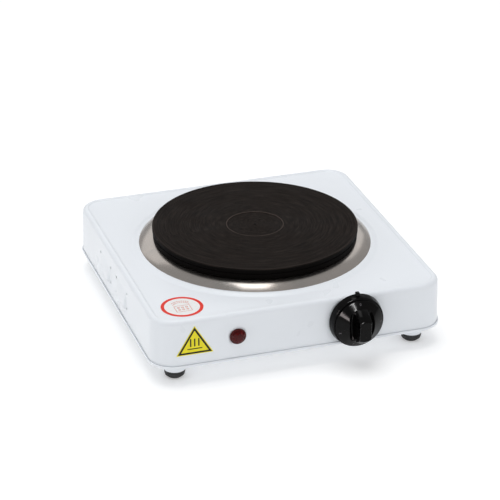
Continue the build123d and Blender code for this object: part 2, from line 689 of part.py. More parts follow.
def bush_nut():
    """The hexagon nut that clamps the bush to the front wall, inside the bezel."""
    nut = hexagon(14.0, 2.6, KNOB_X, -KNOB_WALL - 0.3, KNOB_Z, FORWARD)
    return nut - rod(BUSH_RADIUS, 20, KNOB_X, -KNOB_WALL + 10, KNOB_Z, FORWARD)


def thermostat_spacers():
    """The ceramic rings that keep the stack's leaves apart."""
    spans = [
        (FRAME_FRONT - FRAME_SHEET, ARM_FRONT + ARM_CLEARANCE),
        (ARM_FRONT - ARM_SHEET - ARM_CLEARANCE, FIXED_LEAF_FRONT),
        (FIXED_LEAF_FRONT - FIXED_LEAF_SHEET, BIMETAL_FRONT),
        (BIMETAL_FRONT - BIMETAL_SHEET, STACK_BACK),
    ]
    return Compound([spacer(front, back) for front, back in spans])


def stack_rivet():
    """The rivet that clamps the thermostat's stack to its frame."""
    shank = rod(RIVET_RADIUS, FRAME_FRONT - STACK_BACK, STACK_X, -STACK_BACK, KNOB_Z, FORWARD)
    head = rod(RIVET_RADIUS + 1.6, 1.4, STACK_X, -STACK_BACK + 1.4, KNOB_Z, FORWARD)
    tail = rod(RIVET_RADIUS + 0.8, 0.6, STACK_X, -FRAME_FRONT, KNOB_Z, FORWARD)
    return shank + head + tail


def contact_arm():
    """The moving contact leaf, which the spindle pushes through the ceramic pin."""
    arm = leaf(KNOB_X + 3, LEAF_HALF_WIDTH, ARM_FRONT, ARM_SHEET)
    return arm + contact_button(ARM_FRONT - ARM_SHEET - 1.6, 1.6)


def fixed_contact():
    """The stationary contact leaf, whose rear end is the thermostat's output tab."""
    strip = leaf(CONTACT_X + 3, LEAF_HALF_WIDTH, FIXED_LEAF_FRONT, FIXED_LEAF_SHEET)
    strip += contact_button(FIXED_LEAF_FRONT, 1.8)
    return strip + across((STACK_X - 14, STACK_X - 5), TAB_SPAN_Z, FIXED_LEAF_FRONT, FIXED_LEAF_SHEET)


def bimetal_strip():
    """The two-metal strip that bends as the housing warms and opens the contacts."""
    return leaf(KNOB_X - 1, LEAF_HALF_WIDTH - 0.5, BIMETAL_FRONT, BIMETAL_SHEET)


def supply_tab():
    """The live supply tab, which rests on the frame beside the stack."""
    back = FRAME_FRONT - FRAME_SHEET
    return across((STACK_X - 16, STACK_X - 6.2), TAB_SPAN_Z, back, SUPPLY_TAB_SHEET)


def push_pin():
    """The ceramic pin between the spindle's end and the contact arm."""
    front = SPINDLE_BACK - 0.15
    back = ARM_FRONT + 0.12
    return rod(1.3, front - back, KNOB_X, -back, KNOB_Z, FORWARD)


# ---------------------------------------------------------------- indicator lamp
LAMP_BODY_RADIUS = 5.6
LAMP_DEPTH = 19.0
LAMP_FACETS = 8


def lamp_lens():
    """The red lens: a flange against the wall and a faceted dome in front of it."""
    flange = rod(LAMP_RADIUS, 1.4, 0, 0, KNOB_WALL + 0.2)
    base = RegularPolygon(LAMP_RADIUS - 0.9, LAMP_FACETS, major_radius=True)
    dome = Pos(0, 0, KNOB_WALL + 1.6) * extrude(base, 2.0, taper=38)
    return Pos(LAMP_X, 0, KNOB_Z) * Rot(*FORWARD) * (flange + dome)


def lamp_body():
    """The lamp's holder, a moulded cup through the front wall."""
    back = KNOB_WALL - LAMP_DEPTH
    front = KNOB_WALL + 0.2
    cup = rod(LAMP_BODY_RADIUS, front - back, 0, 0, back)
    cup -= rod(LAMP_BODY_RADIUS - 1.2, front - back, 0, 0, back + 2)
    holes = [rod(0.9, 6, x, 0, back - 2) for x in (-2, 2)]
    return Pos(LAMP_X, 0, KNOB_Z) * Rot(*FORWARD) * (cup - holes)


def neon_bulb():
    """The glass neon bulb inside the lamp's holder."""
    back = KNOB_WALL - LAMP_DEPTH + 3
    bulb = rod(3.0, 10, 0, 0, back) + Pos(0, 0, back + 10) * Sphere(3.0)
    return Pos(LAMP_X, 0, KNOB_Z) * Rot(*FORWARD) * bulb


def lamp_clip():
    """The push-on ring that holds the lamp against the inside of the front wall."""
    ring = tube(LAMP_BODY_RADIUS + 2.4, LAMP_BODY_RADIUS, 0.8, 0, 0, KNOB_WALL - SHEET - 1.2)
    return Pos(LAMP_X, 0, KNOB_Z) * Rot(*FORWARD) * ring


# ---------------------------------------------------------------- cord inlet and terminals
GLAND_RADIUS = 9.0
GLAND_NECK_RADIUS = 6.2
GLAND_INSIDE = 9.0
BLOCK_X = 62.0
BLOCK_Y = 88.0
BLOCK_BASE = PAN_BOTTOM + SHEET
BLOCK_HEIGHT = 13.0
POLE_OFFSETS = (-11.0, 0.0, 11.0)
POLE_SCREW_OFFSETS = (-5.0, 5.0)


def cord_gland():
    """The rubber bush in the rear wall that the supply cord passes through."""
    face = GLAND_WALL + 0.2
    bush = rod(GLAND_RADIUS, GLAND_REACH - 0.2, GLAND_X, face, GLAND_Z, REARWARD)
    bush = fillet(bush.faces().sort_by(Axis.Y)[-1].edges(), 1.6)
    bush += rod(GLAND_NECK_RADIUS, GLAND_INSIDE + 0.2, GLAND_X, GLAND_WALL - GLAND_INSIDE, GLAND_Z, REARWARD)
    return bush - rod(CORD_HOLE_RADIUS, 60, GLAND_X, GLAND_WALL - 30, GLAND_Z, REARWARD)


def gland_nut():
    """The ring nut that holds the gland against the inside of the rear wall."""
    nut = hexagon(17.0, 3.0, GLAND_X, GLAND_WALL - SHEET - 3.4, GLAND_Z, REARWARD)
    return nut - rod(GLAND_NECK_RADIUS, 60, GLAND_X, GLAND_WALL - 30, GLAND_Z, REARWARD)


def terminal_block():
    """The three-pole ceramic block on the base pan where the supply cord would end."""
    top = BLOCK_BASE + BLOCK_HEIGHT
    body = block((BLOCK_X - 18, BLOCK_X + 18), (BLOCK_Y - 9, BLOCK_Y + 9), (BLOCK_BASE, top))
    for offset in POLE_OFFSETS:
        body -= rod(2.5, 40, BLOCK_X + offset, BLOCK_Y - 20, BLOCK_BASE + 5.5, REARWARD)
        for end in POLE_SCREW_OFFSETS:
            body -= rod(1.9, 20, BLOCK_X + offset, BLOCK_Y + end, BLOCK_BASE + 5.5)
    return body


def terminal_screws():
    """The six clamping screws in the terminal block."""
    screws = []
    for offset in POLE_OFFSETS:
        for end in POLE_SCREW_OFFSETS:
            x = BLOCK_X + offset
            y = BLOCK_Y + end
            screw = rod(1.7, 5.0, x, y, BLOCK_BASE + 8.5)
            slot = block((x - 2, x + 2), (y - 0.35, y + 0.35), (BLOCK_BASE + 12.6, BLOCK_BASE + 14))
            screws.append(screw - slot)
    return Compound(screws)


EARTH_X = 20.0
EARTH_Y = 104.0
EARTH_SHEET = 0.8


def earth_tag():
    """The ring tag that bonds the base pan to the earth lead."""
    ring = tube(4.6, 2.1, EARTH_SHEET, EARTH_X, EARTH_Y, BLOCK_BASE)
    width = (EARTH_Y - 2.2, EARTH_Y + 2.2)
    return ring + block((EARTH_X + 3.5, EARTH_X + 11), width, (BLOCK_BASE, BLOCK_BASE + EARTH_SHEET))


def earth_screw():
    """The screw that holds the earth tag to the base pan."""
    head = rod(3.5, 2.0, EARTH_X, EARTH_Y, BLOCK_BASE + EARTH_SHEET)
    return head + rod(1.9, EARTH_SHEET, EARTH_X, EARTH_Y, BLOCK_BASE)


# ---------------------------------------------------------------- internal leads
LEAD_RADIUS = 1.2
LAMP_LEAD_RADIUS = 0.7
POLE_FRONT = BLOCK_Y - 9
POLE_Z = BLOCK_BASE + 5.5


def push_on_terminals():
    """The folded brass receptacles on the plate's blades."""
    sleeves = []
    for offset in BLADE_OFFSETS_X:
        x = BEAD_X + offset
        outer = block((x - 4, x + 4), (BEAD_Y - 1.4, BEAD_Y + 1.4), (BLADE_END - 3, BLADE_END + 6.5))
        sleeves.append(outer - blade(offset))
    return Compound(sleeves)


def neutral_lead():
    """From the terminal block to the plate's right-hand blade."""
    x = BEAD_X + BLADE_OFFSETS_X[1]
    pole_x = BLOCK_X + POLE_OFFSETS[0] + 0.7
    points = [(pole_x, POLE_FRONT + 4, POLE_Z), (pole_x, 40, POLE_Z), (x + 8, -20, 24)]
    points += [(x + 3, BEAD_Y + 10, 25), (x, BEAD_Y, 30), (x, BEAD_Y, BLADE_END - 3)]
    return wire_run(points, 4.0, LEAD_RADIUS)


def live_lead():
    """From the terminal block to the thermostat's supply tab."""
    pole_x = BLOCK_X + POLE_OFFSETS[1]
    tab_y = -(FRAME_FRONT - FRAME_SHEET - SUPPLY_TAB_SHEET)
    points = [(pole_x, POLE_FRONT + 4, POLE_Z), (pole_x, 20, POLE_Z), (pole_x + 6, -60, 23)]
    points += [(pole_x - 10, -100, 24), (STACK_X - 10, -104, 25), (STACK_X - 12, -112, 30)]
    points.append((STACK_X - 12, tab_y + LEAD_RADIUS, 38))
    return wire_run(points, 3.5, LEAD_RADIUS)


def switched_lead():
    """From the thermostat's output tab to the plate's left-hand blade."""
    tab_y = -(FIXED_LEAF_FRONT - FIXED_LEAF_SHEET)
    x = BEAD_X + BLADE_OFFSETS_X[0]
    points = [(STACK_X - 10.5, tab_y + LEAD_RADIUS, KNOB_Z + 1), (STACK_X - 10.5, tab_y + 7, 33)]
    points += [(STACK_X - 4, -88, 27), (x - 3, BEAD_Y - 9, 27), (x, BEAD_Y, 31)]
    points.append((x, BEAD_Y, BLADE_END - 3))
    return wire_run(points, 3.5, LEAD_RADIUS)


def lamp_lead(pin_x, points):
    """A thin lead that starts at one of the lamp's two wires."""
    x = LAMP_X + pin_x
    y = LAMP_DEPTH - KNOB_WALL
    return wire_run([(x, y, KNOB_Z), (x, y + 8, KNOB_Z - 2)] + points, 3.0, LAMP_LEAD_RADIUS)


def lamp_lead_live():
    """From the lamp to the thermostat's output tab."""
    tab_y = -(FIXED_LEAF_FRONT - FIXED_LEAF_SHEET)
    end = (STACK_X - 12.5, tab_y + LAMP_LEAD_RADIUS, KNOB_Z + 2)
    return lamp_lead(2, [(-40, -98, 30), (-6, -100, 32), end])


def lamp_lead_neutral():
    """From the lamp back to the terminal block."""
    pole_x = BLOCK_X + POLE_OFFSETS[0] - 1.3
    route = [(-66, -90, 24), (-62, -20, 22), (-30, 50, 22), (20, 66, 23), (pole_x, POLE_FRONT - 4, POLE_Z)]
    return lamp_lead(-2, route + [(pole_x, POLE_FRONT + 4, POLE_Z)])


def earth_lead():
    """From the earth tag to the terminal block's third pole."""
    pole_x = BLOCK_X + POLE_OFFSETS[2]
    points = [(EARTH_X + 10.5, EARTH_Y, BLOCK_BASE + EARTH_SHEET + LEAD_RADIUS), (EARTH_X + 24, EARTH_Y, 24)]
    points += [(BLOCK_X + 2, EARTH_Y + 4, 27), (pole_x, EARTH_Y + 2, POLE_Z), (pole_x, BLOCK_Y + 5, POLE_Z)]
    return wire_run(points, 2.6, LEAD_RADIUS)


# ---------------------------------------------------------------- labels
LABEL_SHEET = 0.2
ROUND_LABEL_CENTRE = (-99.5, -103.4)
ROUND_LABEL_RADIUS = 18.6
TRIANGLE_APEX = (-97.0, 56.0)
TRIANGLE_HALF_BASE = 16.4
TRIANGLE_BOTTOM = 29.4


def round_label():
    """A plain round adhesive label on the sunk panel's front left corner."""
    return rod(ROUND_LABEL_RADIUS, LABEL_SHEET, *ROUND_LABEL_CENTRE, PANEL_TOP)


def triangle_label():
    """A triangular adhesive label on the front wall, to the left of the lamp."""
    x, top = TRIANGLE_APEX
    mid = (top + TRIANGLE_BOTTOM) / 2
    half_height = (top - TRIANGLE_BOTTOM) / 2
    left = (-TRIANGLE_HALF_BASE, -half_height, 0)
    right = (TRIANGLE_HALF_BASE, -half_height, 0)
    outline = Polyline((0, half_height, 0), left, right, close=True)
    sticker = extrude(make_face(outline), LABEL_SHEET)
    lean = Rot(90 - DRAFT_ANGLE, 0, 0)
    return Pos(x, -wall_offset(mid) - 0.02, mid) * lean * sticker


# ---------------------------------------------------------------- build
SINGLE_PARTS = [
    housing_shell,
    base_pan,
    base_screws,
    foot_screws,
    hot_plate,
    trim_ring,
    heating_coil,
    coil_cement,
    plate_cover,
    terminal_bead,
    plate_terminals,
    push_on_terminals,
    clamp_bridge,
    centre_stud,
    heat_shield,
    stud_washer,
    stud_nut,
    knob_bezel,
    knob,
    knob_clip,
    spindle,
    thermostat_frame,
    thermostat_bush,
    bush_nut,
    thermostat_spacers,
    stack_rivet,
    contact_arm,
    fixed_contact,
    bimetal_strip,
    supply_tab,
    push_pin,
    lamp_lens,
    lamp_body,
    neon_bulb,
    lamp_clip,
    cord_gland,
    gland_nut,
    terminal_block,
    terminal_screws,
    earth_tag,
    earth_screw,
    live_lead,
    neutral_lead,
    switched_lead,
    lamp_lead_live,
    lamp_lead_neutral,
    earth_lead,
    round_label,
    triangle_label,
]

os.makedirs("parts", exist_ok=True)
for make in SINGLE_PARTS:
    save(make.__name__, make())
for foot_name, (foot_x, foot_y) in zip(FOOT_NAMES, FOOT_POSITIONS):
    save(foot_name, foot(foot_x, foot_y))
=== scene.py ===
import itertools
import json
import math

import bmesh
import bpy
from mathutils import Matrix, Vector


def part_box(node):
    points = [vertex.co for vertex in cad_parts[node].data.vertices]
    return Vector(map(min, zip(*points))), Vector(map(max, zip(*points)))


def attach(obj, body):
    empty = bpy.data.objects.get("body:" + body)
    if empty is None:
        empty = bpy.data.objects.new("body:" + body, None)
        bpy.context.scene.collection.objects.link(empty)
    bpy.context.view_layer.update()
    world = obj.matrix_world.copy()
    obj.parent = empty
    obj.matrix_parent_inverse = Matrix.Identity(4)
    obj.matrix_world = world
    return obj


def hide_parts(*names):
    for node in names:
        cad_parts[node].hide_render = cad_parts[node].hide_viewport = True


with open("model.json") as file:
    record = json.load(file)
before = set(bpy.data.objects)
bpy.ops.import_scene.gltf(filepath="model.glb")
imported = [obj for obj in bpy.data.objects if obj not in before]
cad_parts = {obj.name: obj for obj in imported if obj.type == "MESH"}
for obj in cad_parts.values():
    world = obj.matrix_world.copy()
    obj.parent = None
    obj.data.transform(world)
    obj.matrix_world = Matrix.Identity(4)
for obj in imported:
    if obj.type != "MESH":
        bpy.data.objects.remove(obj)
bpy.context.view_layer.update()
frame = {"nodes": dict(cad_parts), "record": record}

# The looks of a free-standing electric hot plate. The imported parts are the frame. The housing, the plate,
# its ring, the bezel, the lens and the feet are built here as finer meshes that stand in for the packed
# ones, and the printing on the labels and the knob is added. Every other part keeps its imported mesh, with
# the knob's edges softened. Each one has a detailed material. Lengths are metres.

MM = 0.001


# ---------------- places read from the frame
def middle(node):
    """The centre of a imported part's box."""
    low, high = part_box(node)
    return (low + high) / 2


PLATE_AXIS = Vector((middle("trim_ring").x, middle("trim_ring").y, 0))
PLATE_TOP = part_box("hot_plate")[1].z
BOSS_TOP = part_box("trim_ring")[0].z
HOUSING_LOW, HOUSING_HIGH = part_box("housing_shell")
HOUSING_HALF = (HOUSING_HIGH.y - HOUSING_LOW.y) / 2
KNOB_AXIS = middle("spindle")
LAMP_AXIS = middle("lamp_lens")
GLAND_AXIS = middle("gland_nut")
PLATE_RADIUS = 92.5 * MM
DISH_RADIUS = 25.5 * MM


# ---------------- camera
CAMERA_AZIMUTH = math.radians(-18.272)
CAMERA_ELEVATION = math.radians(26.054)
CAMERA_ROLL = math.radians(0.145)
CAMERA_DISTANCE = 2.0231
CAMERA_TARGET = PLATE_AXIS + Vector((-4.57 * MM, 0, 52.23 * MM))
CAMERA_LENS = 161.1


def make_camera():
    """The camera at the photograph's viewing angle."""
    azimuth, elevation = CAMERA_AZIMUTH, CAMERA_ELEVATION
    level = math.cos(elevation)
    back = Vector((math.sin(azimuth) * level, -math.cos(azimuth) * level, math.sin(elevation)))
    across = Vector((0, 0, 1)).cross(back).normalized()
    up = back.cross(across)
    turned_across = across * math.cos(CAMERA_ROLL) + up * math.sin(CAMERA_ROLL)
    turned_up = up * math.cos(CAMERA_ROLL) - across * math.sin(CAMERA_ROLL)
    data = bpy.data.cameras.new("camera")
    data.lens = CAMERA_LENS
    camera = bpy.data.objects.new("camera", data)
    camera.matrix_world = Matrix.Translation(CAMERA_TARGET + back * CAMERA_DISTANCE) @ Matrix(
        (turned_across, turned_up, back)
    ).transposed().to_4x4()
    bpy.context.scene.collection.objects.link(camera)
    bpy.context.scene.camera = camera


make_camera()


# ---------------- material helpers
def new_tree(name):
    """A new node material. Returns the material, its tree and its Principled shader."""
    material = bpy.data.materials.new(name)
    material.use_nodes = True
    tree = material.node_tree
    shader = tree.nodes["Principled BSDF"]
    return material, tree, shader


def place_node(tree, centre=(0, 0, 0), stretch=(1, 1, 1)):
    """The object's own coordinates, measured from a centre and stretched."""
    source = tree.nodes.new("ShaderNodeTexCoord")
    mapping = tree.nodes.new("ShaderNodeMapping")
    mapping.inputs["Location"].default_value = [-c * s for c, s in zip(centre, stretch)]
    mapping.inputs["Scale"].default_value = stretch
    tree.links.new(source.outputs["Object"], mapping.inputs["Vector"])
    return mapping.outputs["Vector"]


def noise(tree, place, scale, detail=3.0, roughness=0.55):
    """A noise value from 0 to 1."""
    texture = tree.nodes.new("ShaderNodeTexNoise")
    texture.inputs["Scale"].default_value = scale
    texture.inputs["Detail"].default_value = detail
    texture.inputs["Roughness"].default_value = roughness
    tree.links.new(place, texture.inputs["Vector"])
    return texture.outputs["Fac"]


def spread(tree, value, low, high, start=0.3, end=0.7):
    """Maps a value from one range to another, clamped at both ends."""
    remap = tree.nodes.new("ShaderNodeMapRange")
    remap.inputs["From Min"].default_value = start
    remap.inputs["From Max"].default_value = end
    remap.inputs["To Min"].default_value = low
    remap.inputs["To Max"].default_value = high
    tree.links.new(value, remap.inputs["Value"])
    return remap.outputs["Result"]


def blend_colours(tree, value, first, second):
    """A colour between two, by a value from 0 to 1. Each colour is a tuple or a node's output."""
    mix = tree.nodes.new("ShaderNodeMix")
    mix.data_type = "RGBA"
    tree.links.new(value, mix.inputs["Factor"])
    for socket, colour in ((mix.inputs[6], first), (mix.inputs[7], second)):
        if isinstance(colour, tuple):
            socket.default_value = (*colour, 1)
        else:
            tree.links.new(colour, socket)
    return mix.outputs[2]


def add_bump(tree, shader, heights):
    """Chains bumps, each given as (value, distance in metres, strength), into the shader's normal."""
    previous = None
    for value, distance, strength in heights:
        bump = tree.nodes.new("ShaderNodeBump")
        bump.inputs["Distance"].default_value = distance
        bump.inputs["Strength"].default_value = strength
        tree.links.new(value, bump.inputs["Height"])
        if previous:
            tree.links.new(previous, bump.inputs["Normal"])
        previous = bump.outputs["Normal"]
    tree.links.new(previous, shader.inputs["Normal"])


def shade(colour, factor):
    """A colour made lighter or darker."""
    return tuple(channel * factor for channel in colour)


def polar_parts(tree, centre):
    """The distance from a vertical axis in metres, and the angle round it in radians."""
    split = tree.nodes.new("ShaderNodeSeparateXYZ")
    tree.links.new(place_node(tree, centre), split.inputs["Vector"])
    angle = tree.nodes.new("ShaderNodeMath")
    angle.operation = "ARCTAN2"
    tree.links.new(split.outputs["Y"], angle.inputs[0])
    tree.links.new(split.outputs["X"], angle.inputs[1])
    flat = tree.nodes.new("ShaderNodeCombineXYZ")
    tree.links.new(split.outputs["X"], flat.inputs["X"])
    tree.links.new(split.outputs["Y"], flat.inputs["Y"])
    length = tree.nodes.new("ShaderNodeVectorMath")
    length.operation = "LENGTH"
    tree.links.new(flat.outputs["Vector"], length.inputs[0])
    return length.outputs["Value"], angle.outputs["Value"]


def near(tree, value, target, reach):
    """1 where a value lies within a reach of a target, and 0 elsewhere."""
    compare = tree.nodes.new("ShaderNodeMath")
    compare.operation = "COMPARE"
    tree.links.new(value, compare.inputs[0])
    compare.inputs[1].default_value = target
    compare.inputs[2].default_value = reach
    return compare.outputs["Value"]


def polar_place(tree, centre, radial_scale, angular_scale):
    """Coordinates that run round a vertical axis, so that noise in them lies in rings."""
    length, angle = polar_parts(tree, centre)
    joined = tree.nodes.new("ShaderNodeCombineXYZ")
    tree.links.new(length, joined.inputs["X"])
    tree.links.new(angle, joined.inputs["Y"])
    scaled = tree.nodes.new("ShaderNodeVectorMath")
    scaled.operation = "MULTIPLY"
    scaled.inputs[1].default_value = (radial_scale, angular_scale, 1)
    tree.links.new(joined.outputs["Vector"], scaled.inputs[0])
    return scaled.outputs["Vector"]


# ---------------- materials
def enamel(name, colour):
    """Glossy baked enamel: a faint orange peel, slow changes of tone and gloss, and fine flecks."""
    material, tree, shader = new_tree(name)
    place = place_node(tree)
    tone = noise(tree, place, 14, 2)
    fleck = noise(tree, place, 2600, 2)
    base = blend_colours(tree, spread(tree, tone, 0, 1), shade(colour, 0.985), colour)
    speckled = blend_colours(tree, spread(tree, fleck, 0, 0.2, 0.6, 0.8), base, shade(colour, 0.95))
    tree.links.new(speckled, shader.inputs["Base Color"])
    tree.links.new(spread(tree, noise(tree, place, 35, 2), 0.27, 0.33), shader.inputs["Roughness"])
    add_bump(tree, shader, [(noise(tree, place, 420, 2), 0.00006, 0.05), (tone, 0.0003, 0.02)])
    shader.inputs["Specular IOR Level"].default_value = 0.35
    shader.inputs["Coat Weight"].default_value = 0.1
    shader.inputs["Coat Roughness"].default_value = 0.12
    return material


# The plate's painted light: painted shade in the centre dimple, and painted highlights along the dish's lip
# and the outer lip: (radius, half width, brightness factor).
PAINTED_LIGHT_LINES = ((0, 1.3 * MM, 0.2), (DISH_RADIUS, 0.4 * MM, 5.0), (PLATE_RADIUS - 1.0 * MM, 0.4 * MM, 2.2))


def cast_iron(name, colour):
    """Cast iron with a matt black heat-proof coat: fine grain and turned rings, painted highlights on the
    lips, and painted shade at the centre and on the side.
    """
    material, tree, shader = new_tree(name)
    place = place_node(tree)
    rings = noise(tree, polar_place(tree, PLATE_AXIS, 1100, 3), 1, 3)
    patches = noise(tree, place, 45, 5)
    grain = noise(tree, place, 2400, 3)
    warm = blend_colours(tree, spread(tree, patches, 0, 1), shade(colour, 0.6), shade(colour, 0.95))
    lined = blend_colours(tree, spread(tree, rings, 0, 1, 0.42, 0.66), warm, shade(colour, 2.1))
    distance = polar_parts(tree, PLATE_AXIS)[0]
    # Paints shade into the centre and highlights onto the lips, as lines of colour.
    for radius, reach, factor in PAINTED_LIGHT_LINES:
        lined = blend_colours(tree, near(tree, distance, radius, reach), lined, shade(colour, factor))
    # Painted shade: the plate's side, below the lip, is darkened in its colour.
    split = tree.nodes.new("ShaderNodeSeparateXYZ")
    tree.links.new(place, split.inputs["Vector"])
    side_shade_mask = spread(tree, split.outputs["Z"], 1, 0, PLATE_TOP - 1.2 * MM, PLATE_TOP - 0.7 * MM)
    side_shaded = blend_colours(tree, side_shade_mask, lined, shade(colour, 0.25))
    tree.links.new(side_shaded, shader.inputs["Base Color"])
    tree.links.new(spread(tree, patches, 0.5, 0.66), shader.inputs["Roughness"])
    add_bump(tree, shader, [(grain, 0.0001, 0.35), (rings, 0.00008, 0.3)])
    shader.inputs["Specular IOR Level"].default_value = 0.05
    return material


def spun_steel(name, colour):
    """Stainless steel spun on a lathe: brush lines run round it, with a faint tint left by heat."""
    material, tree, shader = new_tree(name)
    streaks = noise(tree, polar_place(tree, PLATE_AXIS, 4200, 5), 1, 4, 0.7)
    sectors = noise(tree, polar_place(tree, PLATE_AXIS, 25, 2.2), 1, 2)
    tinted = blend_colours(tree, spread(tree, sectors, 0, 1), shade(colour, 0.86), (0.66, 0.585, 0.53))
    lined = blend_colours(tree, spread(tree, streaks, 0, 0.5), tinted, shade(colour, 1.12))
    tree.links.new(lined, shader.inputs["Base Color"])
    tree.links.new(spread(tree, streaks, 0.17, 0.23), shader.inputs["Roughness"])
    add_bump(tree, shader, [(streaks, 0.00002, 0.25)])
    shader.inputs["Metallic"].default_value = 1.0
    shader.inputs["Anisotropic"].default_value = 0.75
    shader.inputs["Anisotropic Rotation"].default_value = 0.25
    tangent = tree.nodes.new("ShaderNodeTangent")
    tangent.direction_type = "RADIAL"
    tangent.axis = "Z"
    tree.links.new(tangent.outputs["Tangent"], shader.inputs["Tangent"])
    return material


def moulding(name, colour, rough_low, rough_high, peel=0.1, glare=0.5):
    """Moulded plastic: slight flow marks, fine surface grain and uneven gloss."""
    material, tree, shader = new_tree(name)
    place = place_node(tree)
    flow = noise(tree, place, 60, 4)
    base = blend_colours(tree, spread(tree, flow, 0, 1), shade(colour, 0.8), shade(colour, 1.25))
    tree.links.new(base, shader.inputs["Base Color"])
    roughness = spread(tree, noise(tree, place, 160, 5), rough_low, rough_high)
    tree.links.new(roughness, shader.inputs["Roughness"])
    add_bump(tree, shader, [(noise(tree, place, 1300, 2), 0.00004, peel), (flow, 0.0002, 0.1)])
    shader.inputs["Specular IOR Level"].default_value = glare
    return material


def rubber(name, colour):
    """Black rubber: dull, finely pitted and a little dusty."""
    material, tree, shader = new_tree(name)
    place = place_node(tree)
    dust = noise(tree, place, 220, 5)
    base = blend_colours(tree, spread(tree, dust, 0, 0.6, 0.5, 0.8), colour, shade(colour, 2.2))
    tree.links.new(base, shader.inputs["Base Color"])
    tree.links.new(spread(tree, dust, 0.5, 0.72), shader.inputs["Roughness"])
    add_bump(tree, shader, [(noise(tree, place, 1700, 3), 0.00008, 0.3)])
    return material


def bare_metal(name, colour, rough_low, rough_high):
    """Plain worked metal: changes of tone and fine scratches along X."""
    material, tree, shader = new_tree(name)
    place = place_node(tree)
    lines = noise(tree, place_node(tree, stretch=(0.08, 1, 1)), 1800, 3)
    tone = noise(tree, place, 90, 4)
    base = blend_colours(tree, spread(tree, tone, 0, 1), shade(colour, 0.8), shade(colour, 1.1))
    tree.links.new(base, shader.inputs["Base Color"])
    tree.links.new(spread(tree, lines, rough_low, rough_high), shader.inputs["Roughness"])
    add_bump(tree, shader, [(lines, 0.00003, 0.3)])
    shader.inputs["Metallic"].default_value = 1.0
    return material


def ceramic(name, colour, speck):
    """Fired ceramic or cement: dull, speckled and slightly pitted."""
    material, tree, shader = new_tree(name)
    place = place_node(tree)
    specks = noise(tree, place, 1500, 4)
    base = blend_colours(tree, spread(tree, specks, 0, 1, 0.55, 0.75), colour, speck)
    tree.links.new(base, shader.inputs["Base Color"])
    tree.links.new(spread(tree, noise(tree, place, 300, 3), 0.5, 0.8), shader.inputs["Roughness"])
    add_bump(tree, shader, [(specks, 0.0001, 0.4)])
    return material


def tinted_glass(name, colour, edge_colour, see_through):
    """Clear or tinted moulding with faint swirls, which lets light through."""
    material, tree, shader = new_tree(name)
    place = place_node(tree)
    swirl = noise(tree, place, 420, 3)
    tinted = blend_colours(tree, spread(tree, swirl, 0, 1), colour, edge_colour)
    tree.links.new(tinted, shader.inputs["Base Color"])
    tree.links.new(spread(tree, swirl, 0.06, 0.16), shader.inputs["Roughness"])
    add_bump(tree, shader, [(swirl, 0.0001, 0.15)])
    shader.inputs["Transmission Weight"].default_value = see_through
    shader.inputs["IOR"].default_value = 1.49
    shader.inputs["Specular IOR Level"].default_value = 0.05
    return material


def vinyl(name, colour, mottle_colour=None):
    """A printed adhesive film or its ink: faintly mottled and satin."""
    material, tree, shader = new_tree(name)
    place = place_node(tree)
    second = mottle_colour or shade(colour, 0.93)
    mottle = noise(tree, place, 380, 4)
    mottled = blend_colours(tree, spread(tree, mottle, 0, 1), colour, second)
    tree.links.new(mottled, shader.inputs["Base Color"])
    tree.links.new(spread(tree, noise(tree, place, 120, 2), 0.3, 0.45), shader.inputs["Roughness"])
    add_bump(tree, shader, [(noise(tree, place, 700, 2), 0.00003, 0.15)])
    shader.inputs["Specular IOR Level"].default_value = 0.25
    return material


MATERIALS = {
    "white_enamel": enamel("white_enamel", (0.825, 0.855, 0.895)),
    "cast_iron_black": cast_iron("cast_iron_black", (0.0112, 0.0086, 0.0074)),
    "stainless": spun_steel("stainless", (0.62, 0.58, 0.54)),
    "coil_wire": bare_metal("coil_wire", (0.38, 0.36, 0.34), 0.35, 0.6),
    "cement": ceramic("cement", (0.62, 0.56, 0.46), (0.42, 0.37, 0.3)),
    "white_ceramic": ceramic("white_ceramic", (0.83, 0.81, 0.76), (0.66, 0.63, 0.57)),
    "zinc_steel": bare_metal("zinc_steel", (0.66, 0.67, 0.68), 0.28, 0.5),
    "spring_steel": bare_metal("spring_steel", (0.52, 0.53, 0.56), 0.2, 0.36),
    "bright_aluminium": bare_metal("bright_aluminium", (0.8, 0.81, 0.82), 0.18, 0.34),
    "black_gloss": moulding("black_gloss", (0.0032, 0.003, 0.003), 0.08, 0.15, glare=0.1),
    "black_moulding": moulding("black_moulding", (0.016, 0.016, 0.017), 0.4, 0.58, 0.3),
    "black_rubber": rubber("black_rubber", (0.012, 0.012, 0.0125)),
    "brass": bare_metal("brass", (0.72, 0.53, 0.24), 0.22, 0.4),
    "red_lens": tinted_glass("red_lens", (0.125, 0.0, 0.0008), (0.07, 0.0, 0.0004), 0.4),
    "bulb_glass": tinted_glass("bulb_glass", (0.93, 0.9, 0.86), (0.85, 0.8, 0.74), 0.9),
    "lead_brown": moulding("lead_brown", (0.14, 0.06, 0.028), 0.35, 0.5),
    "lead_blue": moulding("lead_blue", (0.03, 0.1, 0.34), 0.35, 0.5),
    "lead_earth": moulding("lead_earth", (0.2, 0.42, 0.05), 0.35, 0.5),
    "lead_sleeve": moulding("lead_sleeve", (0.72, 0.7, 0.66), 0.5, 0.7),
    "label_white": vinyl("label_white", (0.87, 0.87, 0.86)),
    "label_yellow": vinyl("label_yellow", (0.87, 0.76, 0.02)),
}
RED_INK = vinyl("red_ink", (0.8, 0.035, 0.018), (0.7, 0.028, 0.014))
PALE_INK = vinyl("pale_ink", (0.7, 0.24, 0.18), (0.62, 0.19, 0.15))
BLACK_INK = vinyl("black_ink", (0.006, 0.0055, 0.005), (0.01, 0.009, 0.008))
DIAL_INK = vinyl("dial_ink", (0.16, 0.15, 0.16), (0.11, 0.1, 0.11))


